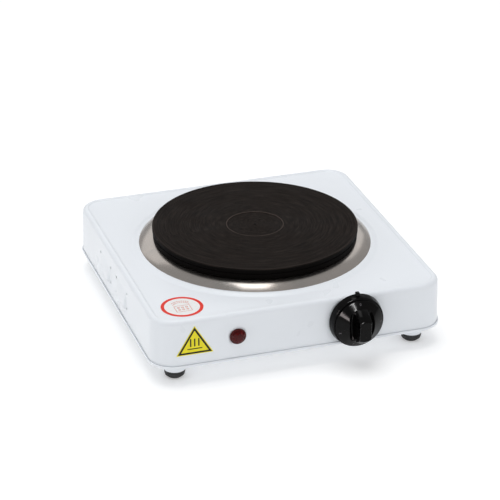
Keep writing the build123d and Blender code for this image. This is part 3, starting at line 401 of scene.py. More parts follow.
def paint_packed_parts():
    """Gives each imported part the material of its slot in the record."""
    for part in frame["record"]["subparts"]:
        for slot in frame["nodes"][part["node"]].material_slots:
            slot.material = MATERIALS[part["material_slot"]]


paint_packed_parts()


# ---------------- mesh helpers
# Points closer than WELD are merged, and numbers that differ by less than SAME count as equal.
WELD = 1e-7
SAME = 1e-6
SHARP_ANGLE = math.radians(32)


def add_piece(name, mesh_data, material, body="casing", replaced=(), sharp=SHARP_ANGLE):
    """Makes a piece from a bmesh: welds it, turns its faces outward, shades it and rides it on a body."""
    bmesh.ops.remove_doubles(mesh_data, verts=mesh_data.verts, dist=WELD)
    bmesh.ops.recalc_face_normals(mesh_data, faces=mesh_data.faces)
    for face in mesh_data.faces:
        face.smooth = True
    for edge in mesh_data.edges:
        edge.smooth = len(edge.link_faces) != 2 or edge.calc_face_angle(0) < sharp
    mesh = bpy.data.meshes.new(name)
    mesh_data.to_mesh(mesh)
    mesh_data.free()
    mesh.materials.append(material)
    piece = bpy.data.objects.new(name, mesh)
    bpy.context.scene.collection.objects.link(piece)
    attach(piece, body)
    if replaced:
        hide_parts(*replaced)
    return piece


def spin(mesh_data, profile, placement, segments):
    """Adds a solid of revolution about local Z from (radius, height) points, closed on the axis."""
    rings = []
    for radius, height in profile:
        if radius == 0:
            rings.append([mesh_data.verts.new(placement @ Vector((0, 0, height)))])
            continue
        angles = [2 * math.pi * step / segments for step in range(segments)]
        points = [Vector((radius * math.cos(angle), radius * math.sin(angle), height)) for angle in angles]
        rings.append([mesh_data.verts.new(placement @ point) for point in points])
    for first, second in zip(rings, rings[1:]):
        bridge(mesh_data, first, second)
    if len(rings[0]) > 1 and len(rings[-1]) > 1:
        bridge(mesh_data, rings[-1], rings[0])


def bridge(mesh_data, first, second):
    """Faces between two closed rings of points, where either may be a single point."""
    count = max(len(first), len(second))
    for index in range(count):
        following = (index + 1) % count
        corners = [first[index % len(first)], first[following % len(first)]]
        corners += [second[following % len(second)], second[index % len(second)]]
        distinct = list(dict.fromkeys(corners))
        if len(distinct) > 2:
            mesh_data.faces.new(distinct)


# A line that turns by less than this is left as it is.
STRAIGHT_ANGLE = math.radians(8)


def rounded(points, radius, steps=4):
    """A line of points with its corners rounded by a radius, or less where two corners are close."""
    result = [points[0]]
    for before, corner, after in zip(points, points[1:], points[2:]):
        here = Vector(corner)
        back, on = Vector(before) - here, Vector(after) - here
        turn = math.pi - back.angle(on)
        if turn < STRAIGHT_ANGLE:
            result.append(corner)
            continue
        cut = min(radius * math.tan(turn / 2), 0.45 * back.length, 0.45 * on.length)
        start, end = here + back.normalized() * cut, here + on.normalized() * cut
        for step in range(steps + 1):
            t = step / steps
            result.append(tuple(start * (1 - t) ** 2 + here * 2 * t * (1 - t) + end * t ** 2))
    result.append(points[-1])
    return result


def above(centre, height=0.0):
    """The placement of something drawn about local Z on a vertical axis."""
    return Matrix.Translation(Vector((centre.x, centre.y, height)))


def facing_front(centre, y):
    """The placement of something drawn about local Z, with X to the right and Y up, on the front wall."""
    return Matrix.Translation(Vector((centre.x, y, centre.z))) @ Matrix.Rotation(math.radians(90), 4, "X")


# ---------------- plate
PLATE_EDGE_BOTTOM = PLATE_TOP - 10.2 * MM
PLATE_SKIRT_RADIUS = 86.5 * MM
PLATE_CHAMBER_RADIUS = 81.0 * MM
PLATE_CHAMBER_TOP = PLATE_TOP - 8.0 * MM
PLATE_HUB_RADIUS = 24.0 * MM
STUD_HOLE_RADIUS = 4.0 * MM
STUD_HOLE_TOP = PLATE_TOP - 10.0 * MM
DISH_DEPTH = 0.5 * MM
GROOVE_PITCH = 1.1 * MM
GROOVE_DEPTH = 0.14 * MM
GROOVE_START = 2.4 * MM
PLATE_SEGMENTS = 224


def grooves(first_radius, last_radius, surface):
    """The turned grooves between two radii of the plate's face."""
    points = []
    count = round((last_radius - first_radius) / GROOVE_PITCH)
    pitch = (last_radius - first_radius) / count
    for index in range(count):
        radius = first_radius + index * pitch
        points += [(radius + 0.5 * pitch, surface), (radius + 0.72 * pitch, surface - GROOVE_DEPTH)]
        points.append((radius + pitch, surface))
    return points


def make_plate():
    """The cast-iron plate with turned grooves, a centre dish, a rolled lip and a stepped edge."""
    low = PLATE_EDGE_BOTTOM
    dish = PLATE_TOP - DISH_DEPTH
    skirt_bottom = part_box("hot_plate")[0].z
    top = [(0, dish - 0.5 * MM), (0.5 * MM, dish - 0.4 * MM), (0.9 * MM, dish)]
    top += grooves(GROOVE_START, DISH_RADIUS - 1.4 * MM, dish)
    top += [(DISH_RADIUS - 0.7 * MM, dish), (DISH_RADIUS - 0.25 * MM, PLATE_TOP)]
    top.append((DISH_RADIUS + 0.3 * MM, PLATE_TOP))
    top += grooves(DISH_RADIUS + 0.6 * MM, PLATE_RADIUS - 1.8 * MM, PLATE_TOP)
    side = [(PLATE_RADIUS - 1.2 * MM, PLATE_TOP), (PLATE_RADIUS, PLATE_TOP), (PLATE_RADIUS, low + 6.4 * MM)]
    side += [(PLATE_RADIUS - 1.0 * MM, low + 5.9 * MM), (PLATE_RADIUS - 1.0 * MM, low + 5.3 * MM)]
    side += [(PLATE_RADIUS - 0.3 * MM, low + 4.9 * MM), (PLATE_RADIUS - 0.6 * MM, low + 0.7 * MM)]
    side += [(PLATE_RADIUS - 1.3 * MM, low), (PLATE_SKIRT_RADIUS, low)]
    under = [(PLATE_SKIRT_RADIUS, skirt_bottom), (PLATE_CHAMBER_RADIUS, skirt_bottom)]
    under += [(PLATE_CHAMBER_RADIUS, PLATE_CHAMBER_TOP), (PLATE_HUB_RADIUS, PLATE_CHAMBER_TOP)]
    under += [(PLATE_HUB_RADIUS, skirt_bottom), (STUD_HOLE_RADIUS, skirt_bottom)]
    under += [(STUD_HOLE_RADIUS, STUD_HOLE_TOP), (0, STUD_HOLE_TOP)]
    profile = top + rounded(side, 0.7 * MM) + rounded(under, 0.5 * MM, 2)
    mesh_data = bmesh.new()
    spin(mesh_data, profile, above(PLATE_AXIS), PLATE_SEGMENTS)
    iron = MATERIALS["cast_iron_black"]
    add_piece("turned_plate", mesh_data, iron, replaced=["hot_plate"])


# ---------------- trim ring
RING_RADIUS = 104.5 * MM
RING_INNER_RADIUS = 91.6 * MM
RING_SEAT_RADIUS = 86.9 * MM
RING_SHEET = 0.55 * MM
RING_STEPS = 20
RING_SEGMENTS = 256


def arc_through(first, between, last, steps):
    """Points on the circular arc through three points, both ends included."""
    ax, ay = first
    bx, by = between
    cx, cy = last
    scale = 2 * (ax * (by - cy) + bx * (cy - ay) + cx * (ay - by))
    a2, b2, c2 = ax * ax + ay * ay, bx * bx + by * by, cx * cx + cy * cy
    centre_x = (a2 * (by - cy) + b2 * (cy - ay) + c2 * (ay - by)) / scale
    centre_y = (a2 * (cx - bx) + b2 * (ax - cx) + c2 * (bx - ax)) / scale
    radius = math.hypot(ax - centre_x, ay - centre_y)
    start = math.atan2(ay - centre_y, ax - centre_x)
    end = math.atan2(cy - centre_y, cx - centre_x)
    angles = [start + (end - start) * step / steps for step in range(steps + 1)]
    return [(centre_x + radius * math.cos(angle), centre_y + radius * math.sin(angle)) for angle in angles]


def make_trim_ring():
    """The spun stainless ring between the plate and the housing's boss."""
    seat = PLATE_EDGE_BOTTOM - RING_SHEET
    crown_radius = (RING_RADIUS + RING_INNER_RADIUS) / 2 + 0.9 * MM
    crown_height = (BOSS_TOP + seat) / 2 + 1.0 * MM
    outer = arc_through(
        (RING_RADIUS, BOSS_TOP),
        (crown_radius, crown_height),
        (RING_INNER_RADIUS, seat + RING_SHEET),
        RING_STEPS,
    )
    under = arc_through(
        (RING_INNER_RADIUS, seat),
        (crown_radius - 0.2 * MM, crown_height - RING_SHEET),
        (RING_RADIUS - RING_SHEET, BOSS_TOP),
        RING_STEPS,
    )
    profile = outer + [(RING_SEAT_RADIUS, seat + RING_SHEET), (RING_SEAT_RADIUS, seat)] + under
    mesh_data = bmesh.new()
    spin(mesh_data, profile, above(PLATE_AXIS), RING_SEGMENTS)
    add_piece("spun_ring", mesh_data, MATERIALS["stainless"], replaced=["trim_ring"])


# ---------------- housing
SHEET = 0.9 * MM
HOUSING_CORNER = 22.0 * MM
WALL_DRAFT = 0.9 * MM
TOP_ROLL = 4.0 * MM
HOUSING_BOTTOM = HOUSING_LOW.z
BEAD_TOP = HOUSING_HIGH.z - 0.6 * MM
PANEL_TOP = HOUSING_HIGH.z - 1.6 * MM
PANEL_SLOPE = 2.0 * MM
BOSS_FOOT_RADIUS = 112.4 * MM
BOSS_SHOULDER_RADIUS = 105.6 * MM
OPENING_RADIUS = 95.0 * MM
LOUVRE_LENGTH = 31.0 * MM
LOUVRE_TOP = 48.5 * MM
LOUVRE_BOTTOM = 32.0 * MM
LOUVRE_BULGE = 1.75 * MM
LOUVRE_END = 3.2 * MM
LOUVRE_SLIT = 1.3 * MM
LOUVRE_CENTRES_Y = [PLATE_AXIS.y + offset * MM for offset in (-24.0, 30.5)]
RELIEF_RADIUS = 1.1 * MM
RELIEF_REACH = LOUVRE_LENGTH / 2 + 0.4 * MM + RELIEF_RADIUS
CORNER_STEPS = 14
PLAIN_STEPS = 26
LOUVRE_STEPS = 14
ROLL_STEPS = 10
SLOPE_STEPS = 8
SPREAD_STEPS = 4
BOSS_STEPS = 10
WALL_HEIGHTS = (20.5 * MM, 24.0 * MM, 27.5 * MM)
BUSH_HOLE_RADIUS = 5.15 * MM
LAMP_HOLE_RADIUS = 5.75 * MM
GLAND_HOLE_RADIUS = 6.35 * MM
LEVEL = 1e-5


def wall_half(z):
    """Half the housing's outer width at a height on its drafted wall."""
    return HOUSING_HALF - WALL_DRAFT * (z - HOUSING_BOTTOM) / (BEAD_TOP - HOUSING_BOTTOM)


def smooth_step(t):
    """0 to 1 with level ends."""
    t = min(1.0, max(0.0, t))
    return t * t * (3 - 2 * t)


def side_fractions():
    """Where the points of a side wall lie along it, from -1 to 1, closer together at the louvres' ends."""
    straight = HOUSING_HALF - HOUSING_CORNER
    places = [-1 + 2 * step / PLAIN_STEPS for step in range(PLAIN_STEPS + 1)]
    for centre in LOUVRE_CENTRES_Y:
        middle_y = centre - PLATE_AXIS.y
        for end in (-1, 1):
            edge = middle_y + end * LOUVRE_LENGTH / 2
            places += [(edge - end * LOUVRE_END * step / 4) / straight for step in range(5)]
            places.append((edge + end * 1.0 * MM) / straight)
    places.sort()
    return [a for a, b in zip(places, places[1:] + [2]) if b - a > 0.3 * MM / straight]


def outline_points(half, corner, z, fine, plain):
    """A rounded square's points, counter-clockwise from the lower end of its right side."""
    straight = half - corner
    points = []
    for side in range(4):
        fractions = fine if side % 2 == 0 else plain
        turn = Matrix.Rotation(math.pi / 2 * side, 3, "Z")
        for fraction in fractions if side < 2 else [-f for f in reversed(fractions)]:
            points.append(turn @ Vector((half, fraction * straight, 0)))
        for step in range(1, CORNER_STEPS):
            angle = math.pi / 2 * step / CORNER_STEPS
            bend = Vector((straight + corner * math.cos(angle), straight + corner * math.sin(angle), 0))
            points.append(turn @ bend)
    return [Vector((point.x + PLATE_AXIS.x, point.y + PLATE_AXIS.y, z)) for point in points]


def louvre_swell(y, z):
    """How far a side wall is pushed out at a point by its louvres."""
    for centre in LOUVRE_CENTRES_Y:
        inside = LOUVRE_LENGTH / 2 - abs(y - centre)
        if inside > 0 and LOUVRE_BOTTOM - SAME <= z <= LOUVRE_TOP:
            drop = (LOUVRE_TOP - z) / (LOUVRE_TOP - LOUVRE_BOTTOM)
            return LOUVRE_BULGE * math.sin(drop * math.pi / 2) ** 1.2 * smooth_step(inside / LOUVRE_END)
    return 0.0


def wall_heights():
    """Heights of the wall's rings, closer together at the louvres."""
    slit_bottom = LOUVRE_BOTTOM - LOUVRE_SLIT
    below = [HOUSING_BOTTOM, *WALL_HEIGHTS, slit_bottom - 1.0 * MM, slit_bottom]
    rise = LOUVRE_TOP - LOUVRE_BOTTOM
    louvre = [LOUVRE_BOTTOM + rise * step / LOUVRE_STEPS for step in range(LOUVRE_STEPS + 1)]
    return below + louvre + [LOUVRE_TOP + 1.0 * MM, LOUVRE_TOP + 4.5 * MM]


def housing_rings():
    """(half width, corner radius, height) of each ring from the wall's foot to the sunk panel."""
    rings = [(wall_half(z), HOUSING_CORNER - (HOUSING_HALF - wall_half(z)), z) for z in wall_heights()]
    roll_start = BEAD_TOP - TOP_ROLL
    outer = wall_half(roll_start)
    for step in range(ROLL_STEPS + 1):
        angle = math.pi / 2 * step / ROLL_STEPS
        half = outer - TOP_ROLL + TOP_ROLL * math.cos(angle)
        height = roll_start + TOP_ROLL * math.sin(angle)
        rings.append((half, HOUSING_CORNER - (HOUSING_HALF - half), height))
    crest = rings[-1][0] - 0.5 * MM
    for step in range(SLOPE_STEPS + 1):
        t = step / SLOPE_STEPS
        half = crest - PANEL_SLOPE * t
        height = BEAD_TOP + (PANEL_TOP - BEAD_TOP) * smooth_step(t)
        rings.append((half, HOUSING_CORNER - (HOUSING_HALF - half), height))
    return rings


def boss_ring(radius, z, last_square):
    """A ring on the boss, with one point towards each point of the panel's inner outline."""
    points = []
    for corner in last_square:
        direction = Vector((corner.x - PLATE_AXIS.x, corner.y - PLATE_AXIS.y, 0)).normalized()
        points.append(Vector((PLATE_AXIS.x, PLATE_AXIS.y, z)) + direction * radius)
    return points


def housing_skin():
    """The pressed top's outer face as one grid of points, with the louvres swelled out of its side walls."""
    fine = side_fractions()
    plain = [-1 + 2 * step / PLAIN_STEPS for step in range(PLAIN_STEPS + 1)]
    outlines = []
    for half, corner, z in housing_rings():
        points = outline_points(half, corner, z, fine, plain)
        for point in points:
            if abs(abs(point.x - PLATE_AXIS.x) - half) < SAME:
                point.x += math.copysign(louvre_swell(point.y, z), point.x)
        outlines.append(points)
    panel = outlines[-1]
    circle = boss_ring(BOSS_FOOT_RADIUS, PANEL_TOP, panel)
    for step in range(1, SPREAD_STEPS):
        outlines.append([a.lerp(b, step / SPREAD_STEPS) for a, b in zip(panel, circle)])
    for step in range(BOSS_STEPS + 1):
        t = step / BOSS_STEPS
        radius = BOSS_FOOT_RADIUS + (BOSS_SHOULDER_RADIUS - BOSS_FOOT_RADIUS) * t
        outlines.append(boss_ring(radius, PANEL_TOP + (BOSS_TOP - PANEL_TOP) * smooth_step(t), panel))
    for radius in (BOSS_SHOULDER_RADIUS - 3 * MM, OPENING_RADIUS):
        outlines.append(boss_ring(radius, BOSS_TOP, panel))
    return outlines


def is_slit(lower, upper):
    """Whether a wall face between two points is the open slit under a louvre."""
    at_slit = lower.z < LOUVRE_BOTTOM - SAME and abs(upper.z - LOUVRE_BOTTOM) < SAME
    on_side = abs(abs(upper.x - PLATE_AXIS.x) - wall_half(upper.z)) > 0.3 * LOUVRE_BULGE
    return at_slit and on_side and louvre_swell(upper.y, LOUVRE_BOTTOM) > 0.3 * LOUVRE_BULGE


def make_housing():
    """The pressed steel housing: a smooth skin given its sheet's thickness, with the wall holes cut out."""
    mesh_data = bmesh.new()
    rings = [[mesh_data.verts.new(point) for point in outline] for outline in housing_skin()]
    for first, second in zip(rings, rings[1:]):
        bridge(mesh_data, first, second)
    bmesh.ops.recalc_face_normals(mesh_data, faces=mesh_data.faces)
    slits = []
    for face in mesh_data.faces:
        low = min(face.verts, key=lambda v: v.co.z)
        high = [v for v in face.verts if v.co.z > low.co.z + LEVEL]
        if len(high) == 2 and all(is_slit(low.co, v.co) for v in high):
            slits.append(face)
    bmesh.ops.delete(mesh_data, geom=slits, context="FACES_ONLY")
    white = MATERIALS["white_enamel"]
    piece = add_piece("pressed_housing", mesh_data, white, replaced=["housing_shell"])
    thicken(piece, SHEET)
    cut_holes(piece)


def thicken(piece, thickness):
    """Gives a skin its sheet's thickness, inward, and keeps the result."""
    solidify = piece.modifiers.new("sheet", "SOLIDIFY")
    solidify.thickness = thickness
    solidify.offset = -1
    solidify.use_even_offset = True
    apply_modifiers(piece)


def apply_modifiers(piece):
    """Replaces a piece's mesh with what its modifiers make of it."""
    graph = bpy.context.evaluated_depsgraph_get()
    made = bpy.data.meshes.new_from_object(piece.evaluated_get(graph))
    piece.modifiers.clear()
    piece.data = made


CUT_DEPTH = 12 * MM


def add_cutter(mesh_data, radius, start, turn, segments):
    """Adds a cylinder that starts at a point and runs along the turned Z axis."""
    profile = [(0, 0), (radius, 0), (radius, CUT_DEPTH), (0, CUT_DEPTH)]
    spin(mesh_data, profile, Matrix.Translation(start) @ turn, segments)


def cut_holes(piece):
    """Cuts the bush, lamp, gland and relief holes through the housing's walls."""
    cutter_data = bmesh.new()
    front, rear = PLATE_AXIS.y - HOUSING_HALF, PLATE_AXIS.y + HOUSING_HALF
    lying = Matrix.Rotation(math.radians(90), 4, "X")
    round_holes = [(KNOB_AXIS, front, BUSH_HOLE_RADIUS), (LAMP_AXIS, front, LAMP_HOLE_RADIUS)]
    round_holes.append((GLAND_AXIS, rear, GLAND_HOLE_RADIUS))
    for axis, y, radius in round_holes:
        add_cutter(cutter_data, radius, Vector((axis.x, y + CUT_DEPTH / 2, axis.z)), lying, 48)
    sideways = Matrix.Rotation(math.radians(90), 4, "Y")
    for side, centre, end in itertools.product((-1, 1), LOUVRE_CENTRES_Y, (-1, 1)):
        x = PLATE_AXIS.x + side * HOUSING_HALF - CUT_DEPTH / 2
        y = centre + end * RELIEF_REACH
        for z in (LOUVRE_BOTTOM + RELIEF_RADIUS, LOUVRE_TOP - RELIEF_RADIUS):
            add_cutter(cutter_data, RELIEF_RADIUS, Vector((x, y, z)), sideways, 16)
    bmesh.ops.recalc_face_normals(cutter_data, faces=cutter_data.faces)
    mesh = bpy.data.meshes.new("cutters")
    cutter_data.to_mesh(mesh)
    cutter_data.free()
    cutter = bpy.data.objects.new("cutters", mesh)
    bpy.context.scene.collection.objects.link(cutter)
    boolean = piece.modifiers.new("holes", "BOOLEAN")
    boolean.operation = "DIFFERENCE"
    boolean.solver = "EXACT"
    boolean.object = cutter
    bpy.context.view_layer.update()
    apply_modifiers(piece)
    bpy.data.objects.remove(cutter)


# ---------------- bezel, lens and feet
BEZEL_STAND_OFF = 1.15 * MM
BEZEL_TAPER = 1.4 * MM
BEZEL_WALL = 1.6 * MM
BEZEL_BORE = 9.2 * MM
BEZEL_SLEEVE = 10.4 * MM
TAB_HALF_WIDTH = 1.8 * MM
TAB_SPAN = (1.0 * MM, 4.6 * MM)


def make_bezel():
    """The fixed black ring around the knob: rounded edges, an index tab and a sleeve over the bush nut."""
    low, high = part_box("knob_bezel")
    back_radius = (high.x - low.x) / 2
    front_radius = back_radius - BEZEL_TAPER
    wall_back = PLATE_AXIS.y - HOUSING_HALF - BEZEL_STAND_OFF
    depth = wall_back - low.y
    sleeve_back = wall_back - high.y
    inside = depth - BEZEL_WALL
    profile = [(BEZEL_SLEEVE, sleeve_back), (BEZEL_SLEEVE, inside), (front_radius - BEZEL_WALL, inside)]
    profile += [(back_radius - BEZEL_WALL, 0), (back_radius, 0), (front_radius, depth)]
    profile += [(BEZEL_BORE, depth), (BEZEL_BORE, sleeve_back), (BEZEL_SLEEVE, sleeve_back)]
    mesh_data = bmesh.new()
    placement = facing_front(KNOB_AXIS, wall_back)
    spin(mesh_data, rounded(profile, 0.9 * MM, 5), placement, 128)
    tab_top, top_half = high.z - KNOB_AXIS.z, TAB_HALF_WIDTH * 0.9
    tab = [(-TAB_HALF_WIDTH, front_radius), (TAB_HALF_WIDTH, front_radius)]
    tab += [(top_half, tab_top), (-top_half, tab_top)]
    prism(mesh_data, tab, *TAB_SPAN, placement, 0.35 * MM)
    add_piece("gloss_bezel", mesh_data, MATERIALS["black_gloss"], replaced=["knob_bezel"])


def prism(mesh_data, outline, low, high, placement, bevel=0.0):
    """Adds a prism from a flat outline, with its edges bevelled."""
    before = set(mesh_data.edges)
    lower = [mesh_data.verts.new(placement @ Vector((x, y, low))) for x, y in outline]
    upper = [mesh_data.verts.new(placement @ Vector((x, y, high))) for x, y in outline]
    mesh_data.faces.new(list(reversed(lower)))
    mesh_data.faces.new(upper)
    bridge(mesh_data, lower, upper)
    if bevel:
        added = [edge for edge in mesh_data.edges if edge not in before]
        bmesh.ops.bevel(mesh_data, geom=added, offset=bevel, segments=3, affect="EDGES", profile=0.5)


LENS_FACETS = 12
LENS_FLANGE = 1.4 * MM
LENS_SHARP_ANGLE = math.radians(12)


def make_lens():
    """The red lens: a rounded flange and a dome cut into two rows of facets."""
    low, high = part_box("lamp_lens")
    depth = high.y - low.y
    flange_radius = (high.x - low.x) / 2
    dome_radius = flange_radius - 0.9 * MM
    placement = facing_front(LAMP_AXIS, high.y)
    mesh_data = bmesh.new()
    rim = [(0, 0), (flange_radius, 0), (flange_radius, LENS_FLANGE), (dome_radius, LENS_FLANGE)]
    spin(mesh_data, rounded(rim, 0.5 * MM) + [(0, LENS_FLANGE)], placement, 64)
    # (radius, height, turn in facets) of each ring of the dome's corners.
    rows = [(dome_radius, LENS_FLANGE - 0.05 * MM, 0), (dome_radius - 1.4 * MM, LENS_FLANGE + 1.3 * MM, 0.5)]
    rows.append((dome_radius - 3.7 * MM, depth, 0))
    rings = []
    for radius, height, shift in rows:
        angles = [2 * math.pi * (step + shift) / LENS_FACETS for step in range(LENS_FACETS)]
        points = [Vector((radius * math.cos(angle), radius * math.sin(angle), height)) for angle in angles]
        rings.append([mesh_data.verts.new(placement @ point) for point in points])
    for row, (lower, upper) in enumerate(zip(rings, rings[1:])):
        for index in range(LENS_FACETS):
            following = (index + 1) % LENS_FACETS
            if row == 0:
                mesh_data.faces.new([lower[index], lower[following], upper[index]])
                mesh_data.faces.new([lower[following], upper[following], upper[index]])
            else:
                mesh_data.faces.new([lower[index], upper[following], upper[index]])
                mesh_data.faces.new([lower[index], lower[following], upper[following]])
    mesh_data.faces.new(rings[-1])
    mesh_data.faces.new(list(reversed(rings[0])))
    red = MATERIALS["red_lens"]
    add_piece("faceted_lens", mesh_data, red, replaced=["lamp_lens"], sharp=LENS_SHARP_ANGLE)


FOOT_HOLE_RADIUS = 1.9 * MM
FOOT_RECESS_RADIUS = 4.0 * MM
FOOT_RECESS_DEPTH = 3.4 * MM


def make_feet():
    """The four rubber feet: a collar under the pan's boss and a rounded sole with its recess."""
    for corner in ("front_left", "front_right", "rear_left", "rear_right"):
        node = "foot_" + corner
        low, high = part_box(node)
        radius = (high.x - low.x) / 2
        height = high.z
        profile = [(FOOT_HOLE_RADIUS, height), (FOOT_HOLE_RADIUS, FOOT_RECESS_DEPTH)]
        profile += [(FOOT_RECESS_RADIUS, FOOT_RECESS_DEPTH), (FOOT_RECESS_RADIUS, 0)]
        profile += [(0.64 * radius, 0), (0.92 * radius, 0.3 * height), (radius, 0.66 * height)]
        profile += [(radius, height), (FOOT_HOLE_RADIUS, height)]
        mesh_data = bmesh.new()
        spin(mesh_data, rounded(profile, 0.9 * MM), above(middle(node)), 72)
        add_piece("rubber_" + node, mesh_data, MATERIALS["black_rubber"], replaced=[node])


# ---------------- printing on the labels and the knob
INK = 0.05 * MM


def band(mesh_data, inner, outer, placement, first_angle=0.0, last_angle=2 * math.pi, steps=96):
    """Adds a flat ring or a part of one, as a thin solid between two radii."""
    closed = last_angle - first_angle > 2 * math.pi - SAME
    rows = []
    for step in range(steps if closed else steps + 1):
        angle = first_angle + (last_angle - first_angle) * step / steps
        aim = Vector((math.cos(angle), math.sin(angle), 0))
        lift = Vector((0, 0, INK))
        corners = (aim * inner, aim * outer, aim * outer + lift, aim * inner + lift)
        rows.append([mesh_data.verts.new(placement @ corner) for corner in corners])
    for first, second in zip(rows, rows[1:] + (rows[:1] if closed else [])):
        bridge(mesh_data, first, second)
    if not closed:
        mesh_data.faces.new(rows[0])
        mesh_data.faces.new(list(reversed(rows[-1])))


def frame_outline(mesh_data, half_width, half_height, line, placement):
    """Adds a plain rectangle drawn with a line."""
    spans = [(-half_width, -half_height, half_width, line - half_height)]
    spans += [(-half_width, half_height - line, half_width, half_height)]
    spans += [(-half_width, line - half_height, line - half_width, half_height - line)]
    spans += [(half_width - line, line - half_height, half_width, half_height - line)]
    for left, low, right, high in spans:
        prism(mesh_data, [(left, low), (right, low), (right, high), (left, high)], 0, INK, placement)


# The round label's rows of dashes: (radius, number of dashes, half the angle they cover in degrees).
DASH_ROWS = ((10.4 * MM, 9, 48), (8.2 * MM, 11, 62))
DASH_SHARE = 0.62
DASH_HALF_HEIGHT = 0.45 * MM


def make_round_print():
    """The round label's red border, with plain dashes and a framed dot pattern inside it."""
    low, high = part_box("round_label")
    centre = (low + high) / 2
    radius = (high.x - low.x) / 2
    placement = above(centre, high.z)
    border = bmesh.new()
    band(border, radius - 3.3 * MM, radius - 0.3 * MM, placement)
    add_piece("round_label_border", border, RED_INK)
    marks = bmesh.new()
    for row_radius, count, half_span in DASH_ROWS:
        inner, outer = row_radius - DASH_HALF_HEIGHT, row_radius + DASH_HALF_HEIGHT
        for index in range(count):
            start = math.radians(90 - half_span + 2 * half_span * index / count)
            end = start + math.radians(2 * half_span / count * DASH_SHARE)
            band(marks, inner, outer, placement, start, end, 3)
    picture = placement @ Matrix.Translation(Vector((0, -3.2 * MM, 0)))
    frame_outline(marks, 7.0 * MM, 5.6 * MM, 0.45 * MM, picture)
    for column in range(3):
        for row in range(2):
            dot = picture @ Matrix.Translation(Vector(((column - 1) * 3.6 * MM, (row - 0.5) * 3.8 * MM, 0)))
            band(marks, 0.55 * MM, 1.15 * MM, dot, steps=20)
    add_piece("round_label_marks", marks, PALE_INK)


def stroke(mesh_data, start, end, width, placement):
    """Adds a straight stroke with round ends."""
    begin, finish = Vector(start), Vector(end)
    along = (finish - begin).angle_signed(Vector((1, 0)))
    outline = []
    for centre, first in ((finish, -90), (begin, 90)):
        for step in range(9):
            angle = along + math.radians(first + 180 * step / 8)
            outline.append((centre.x + width / 2 * math.cos(angle), centre.y + width / 2 * math.sin(angle)))
    prism(mesh_data, outline, 0, INK, placement)


def make_triangle_print():
    """The triangular label's black border and a plain mark: three upright strokes over a bar."""
    low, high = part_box("triangle_label")
    sheet = 0.2 * MM
    height, width = high.z - low.z, high.x - low.x
    lean = math.asin((high.y - low.y - sheet) / height)
    foot = Vector(((low.x + high.x) / 2, low.y, low.z))
    placement = Matrix.Translation(foot) @ Matrix.Rotation(math.radians(90) - lean, 4, "X")
    apex_angle = math.atan2(width / 2, height)
    base_angle = (math.pi / 2 - apex_angle) / 2
    ink = bmesh.new()
    loops = []
    for inset in (0.7 * MM, 2.3 * MM):
        side = width / 2 - inset / math.tan(base_angle)
        loops.append([(-side, inset), (side, inset), (0, height - inset / math.sin(apex_angle))])
    rows = [
        [ink.verts.new(placement @ Vector((*point, lift))) for point in loop]
        for loop, lift in ((loops[0], 0), (loops[0], INK), (loops[1], INK), (loops[1], 0))
    ]
    for first, second in zip(rows, rows[1:] + rows[:1]):
        bridge(ink, first, second)
    bar_y = 5.3 * MM
    stroke(ink, (-6.2 * MM, bar_y), (6.2 * MM, bar_y), 0.9 * MM, placement)
    for x in (-3.6 * MM, 0, 3.6 * MM):
        stroke(ink, (x, bar_y + 2.6 * MM), (x, bar_y + 9.0 * MM), 1.2 * MM, placement)
    add_piece("triangle_label_ink", ink, BLACK_INK)


KNOB_VOXEL = 0.4 * MM
KNOB_SOFTENING = 6


def soften_knob():
    """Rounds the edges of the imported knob's own mesh, as a moulding's are."""
    knob = frame["nodes"]["knob"]
    remesh = knob.modifiers.new("even_mesh", "REMESH")
    remesh.mode = "VOXEL"
    remesh.voxel_size = KNOB_VOXEL
    remesh.use_smooth_shade = True
    smooth = knob.modifiers.new("soft_edges", "SMOOTH")
    smooth.factor = 0.5
    smooth.iterations = KNOB_SOFTENING


NUMBER_COUNT = 6
NUMBER_STEP = math.radians(54)
NUMBER_SIZE = 3.2 * MM
NUMBER_RISE = 0.1 * MM


def digit_mesh(value):
    """A digit as a thin flat mesh, centred on the origin."""
    curve = bpy.data.curves.new("digit", "FONT")
    curve.body = str(value)
    curve.size = NUMBER_SIZE
    curve.extrude = NUMBER_RISE
    curve.align_x = "CENTER"
    curve.align_y = "CENTER"
    curve.resolution_u = 3
    text = bpy.data.objects.new("digit", curve)
    bpy.context.scene.collection.objects.link(text)
    bpy.context.view_layer.update()
    graph = bpy.context.evaluated_depsgraph_get()
    mesh = bpy.data.meshes.new_from_object(text.evaluated_get(graph))
    bpy.data.objects.remove(text)
    return mesh


def make_dial_numbers():
    """Numbers 0 to 5 moulded round the knob's cone, with 0 at the index tab when the knob is off."""
    knob_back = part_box("knob")[1].y
    # Two points on the cone, as (distance from the axis, height in front of the knob's back).
    inner, outer = Vector((17.4 * MM, 4.42 * MM)), Vector((20.6 * MM, 1.97 * MM))
    numbers = bmesh.new()
    for value in range(NUMBER_COUNT):
        flat = digit_mesh(value)
        turn = NUMBER_STEP * value
        for vertex in flat.vertices:
            share = 0.5 + vertex.co.y / (outer - inner).length
            radius, height = inner.lerp(outer, share)
            angle = math.pi / 2 + turn - vertex.co.x / (inner.x + outer.x) * 2
            aim = Vector((math.cos(angle), math.sin(angle)))
            x, z = KNOB_AXIS.x + aim.x * radius, KNOB_AXIS.z + aim.y * radius
            vertex.co = (x, knob_back - height - vertex.co.z, z)
        numbers.from_mesh(flat)
    add_piece("dial_numbers", numbers, DIAL_INK, body="knob_assembly")


make_plate()
make_trim_ring()
make_housing()
make_bezel()
make_lens()
make_feet()
make_round_print()
make_triangle_print()
soften_knob()
make_dial_numbers()


# ---------------- floor and light
FLOOR_HALF = 20.0
LIGHT_DISTANCE = 1.7


